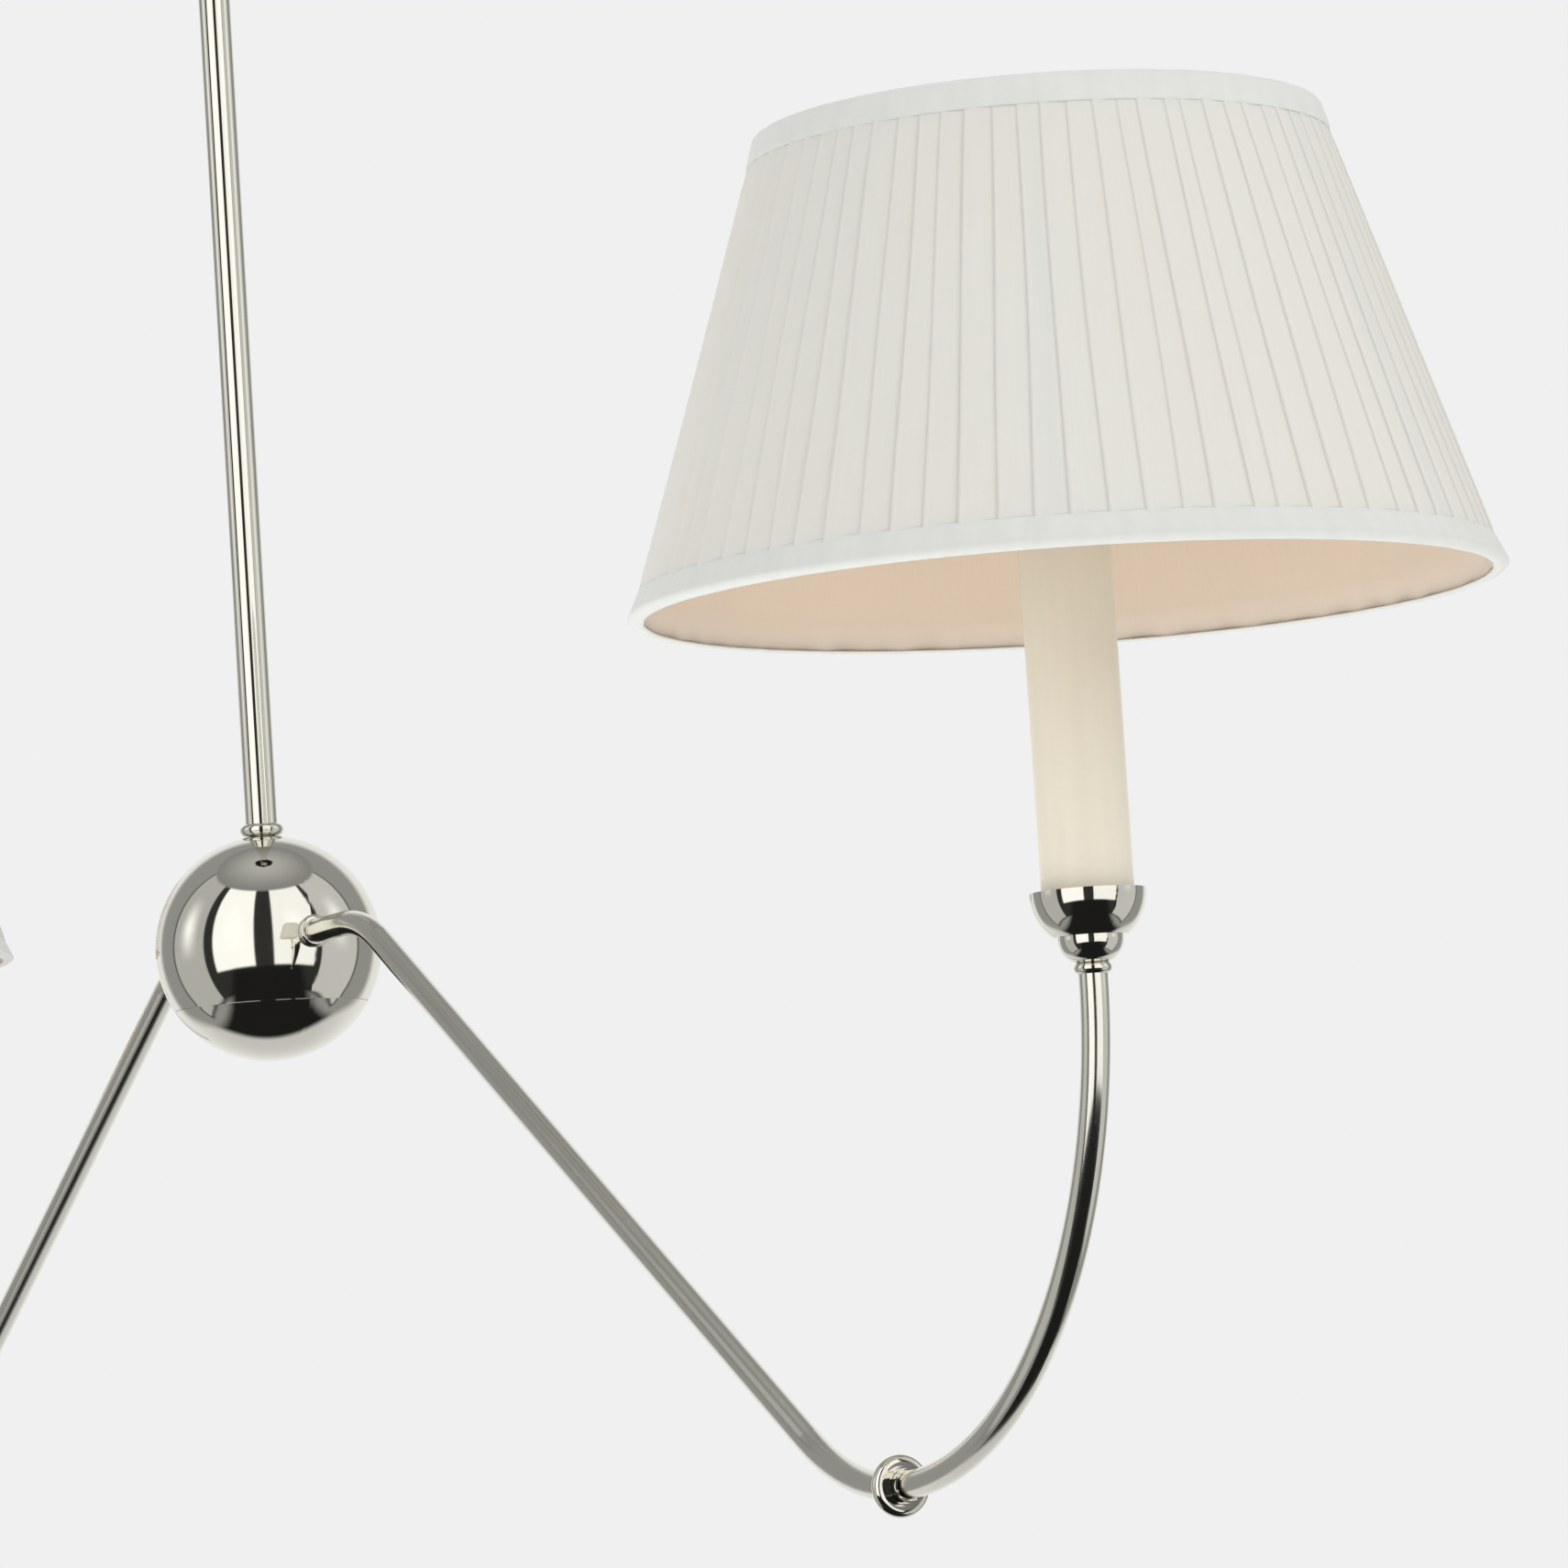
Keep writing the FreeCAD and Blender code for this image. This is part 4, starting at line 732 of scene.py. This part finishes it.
def floor_finish():
    """Pale paper that fades into the backdrop and doesn't hide the light from below."""
    finish = Finish("floor_paper")
    place = finish.place()
    reach = finish.add("ShaderNodeVectorMath", {"operation": "LENGTH"},
                       {0: finish.stretch(place, (1.0, 1.0, 0.0))}, "Value")
    grain = finish.noise(place, 30.0)
    underside = finish.add("ShaderNodeNewGeometry", (), (), "Backfacing")
    finish.surface(
        Base_Color=finish.blend(grain, (0.83, 0.83, 0.82), (0.86, 0.86, 0.85)),
        Roughness=0.9,
        Alpha=finish.step(reach, 1.4, 3.6, 1, 0) * (1 - underside))
    return finish.material


# ---------------------------------------------------------------- operators

class PlateMetal(bpy.types.Operator):
    """Finish the polished nickel pieces"""

    bl_idname = "hanging_light.plate_metal"
    bl_label = "Plate the Metal"

    def execute(self, context):
        colours = context.scene.light_colours
        tubes = [f"{piece}_{side}" for piece in ("arm", "upright") for side in SIDES]
        dress("polished_nickel", nickel_plate(colours, "drawn_tube_finish", 0.13), tubes)
        dress("polished_nickel", nickel_plate(colours))
        return {"FINISHED"}


class FinishFixings(bpy.types.Operator):
    """Finish the strap, nuts, pipes, frame wires and wire sleeves"""

    bl_idname = "hanging_light.finish_fixings"
    bl_label = "Finish the Fixings"

    def execute(self, context):
        colours = context.scene.light_colours
        dress("zinc_steel", zinc_plate(colours))
        dress("shade_wire", plated_wire(colours))
        dress("wire_sleeve", woven_sleeve(colours))
        return {"FINISHED"}


class FinishCandles(bpy.types.Operator):
    """Finish the candle sleeves, lampholders and shade rings"""

    bl_idname = "hanging_light.finish_candles"
    bl_label = "Finish the Candles"

    def execute(self, context):
        colours = context.scene.light_colours
        dress("candle_ivory", ivory_sleeve(colours))
        dress("lampholder_black", moulded_holder(colours))
        return {"FINISHED"}


class FinishBulbs(bpy.types.Operator):
    """Finish the bulbs and the contacts under them"""

    bl_idname = "hanging_light.finish_bulbs"
    bl_label = "Finish the Bulbs"

    def execute(self, context):
        colours = context.scene.light_colours
        dress("bulb_glass", frosted_glass(colours))
        dress("contact_brass", threaded_brass(colours))
        return {"FINISHED"}


class SewCovers(bpy.types.Operator):
    """Make the pleated cover of each shade"""

    bl_idname = "hanging_light.sew_covers"
    bl_label = "Sew the Pleated Covers"

    def execute(self, context):
        sizes = context.scene.shade_sizes
        cloth = pleated_cloth(context.scene.light_colours)
        for side in SIDES:
            shape, flat, area = pleat_cover(side, sizes)
            cover = make_cloth(f"pleated_cover_{side}", shape, side, cloth,
                               sizes.cover_cloth)
            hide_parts(f"shade_cover_{side}")
        return {"FINISHED"}


class SewLinings(bpy.types.Operator):
    """Make the smooth lining of each shade"""

    bl_idname = "hanging_light.sew_linings"
    bl_label = "Sew the Linings"

    def execute(self, context):
        sizes = context.scene.shade_sizes
        cloth = lining_cloth(context.scene.light_colours)
        for side in SIDES:
            shape, flat, area = smooth_lining(side)
            lining = make_cloth(f"smooth_lining_{side}", shape, side, cloth,
                                sizes.lining_cloth)
            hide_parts(f"shade_lining_{side}")
        return {"FINISHED"}


class SewTapes(bpy.types.Operator):
    """Make the tape over each edge of each shade"""

    bl_idname = "hanging_light.sew_tapes"
    bl_label = "Sew the Edge Tapes"

    def execute(self, context):
        sizes = context.scene.shade_sizes
        cloth = tape_cloth(context.scene.light_colours)
        for side in SIDES:
            for name, end in (("foot", 1), ("top", -1)):
                shape, flat = edge_tape(side, sizes, end)
                tape = make_cloth(f"{name}_tape_{side}", shape, side, cloth,
                                  sizes.tape_cloth)
                if end == 1:
                    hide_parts(f"shade_tapes_{side}")
        return {"FINISHED"}


class SetStudio(bpy.types.Operator):
    """Set the camera, the soft lights, the backdrop and the floor"""

    bl_idname = "hanging_light.set_studio"
    bl_label = "Set the Studio"

    def execute(self, context):
        setup = context.scene.studio_setup
        eye, sight = Vector(setup.eye), Vector(setup.sight).normalized()
        look = bpy.data.cameras.new("camera")
        look.lens = setup.lens
        look.clip_end = 50.0
        camera = bpy.data.objects.new("camera", look)
        camera.matrix_world = (
            Matrix.Translation(eye)
            @ sight.to_track_quat("-Z", "Y").to_matrix().to_4x4()
            @ Matrix.Rotation(setup.roll, 4, "Z"))
        context.collection.objects.link(camera)
        context.scene.camera = camera
        context.scene.view_settings.view_transform = "Standard"

        low, high = (Vector(corner) for corner in CAD_BOX)
        middle = (low + high) / 2
        toward = Vector((-sight.x, -sight.y, 0)).normalized()
        across = UP.cross(toward).normalized()
        studio_world(setup, toward, across)
        soft_light("key_light", middle + toward * 1.9 + across * 1.7 + UP * 0.9, middle,
                   setup.key_power, 1.6)
        soft_light("fill_light", middle + toward * 1.6 - across * 2.2 + UP * 0.4, middle,
                   setup.fill_power, 1.6)
        soft_light("rear_light", middle - toward * 2.0 - across * 0.9 + UP * 0.9, middle,
                   setup.rear_power, 1.6)
        beneath = middle + toward * 0.6 - UP * 0.85
        soft_light("floor_bounce", beneath, beneath + UP, setup.floor_power, 1.4)

        floor_drop = 0.9
        shape = bmesh.new()
        bmesh.ops.create_circle(shape, cap_ends=True, segments=128, radius=4.0,
                                matrix=Matrix.Translation((0, 0, low.z - floor_drop)))
        mesh = bpy.data.meshes.new("floor")
        shape.to_mesh(mesh)
        shape.free()
        mesh.materials.append(floor_finish())
        floor = bpy.data.objects.new("floor", mesh)
        context.collection.objects.link(floor)
        floor.visible_glossy = False
        return {"FINISHED"}


OPERATORS = (SetStudio, PlateMetal, FinishFixings, FinishCandles, FinishBulbs, SewCovers,
             SewLinings, SewTapes)


class HangingLightPanel(bpy.types.Panel):
    """The light's sizes, colours and making steps"""

    bl_idname = "VIEW3D_PT_hanging_light"
    bl_label = "Hanging Light"
    bl_space_type = "VIEW_3D"
    bl_region_type = "UI"
    bl_category = "Hanging Light"

    def draw(self, context):
        scene = context.scene
        for group in (scene.shade_sizes, scene.light_colours, scene.studio_setup):
            box = self.layout.box()
            for name in group.bl_rna.properties.keys():
                if name not in ("rna_type", "name"):
                    box.prop(group, name)
        for operator in OPERATORS:
            self.layout.operator(operator.bl_idname)


GROUPS = (ShadeSizes, FinishColours, StudioSetup)
CLASSES = GROUPS + OPERATORS + (HangingLightPanel,)


def register():
    for kind in CLASSES:
        bpy.utils.register_class(kind)
    bpy.types.Scene.shade_sizes = PointerProperty(type=ShadeSizes)
    bpy.types.Scene.light_colours = PointerProperty(type=FinishColours)
    bpy.types.Scene.studio_setup = PointerProperty(type=StudioSetup)


def unregister():
    del bpy.types.Scene.studio_setup
    del bpy.types.Scene.light_colours
    del bpy.types.Scene.shade_sizes
    for kind in reversed(CLASSES):
        bpy.utils.unregister_class(kind)


def main():
    register()
    for operator in OPERATORS:
        group, name = operator.bl_idname.split(".")
        getattr(getattr(bpy.ops, group), name)()


if __name__ == "__main__":
    main()
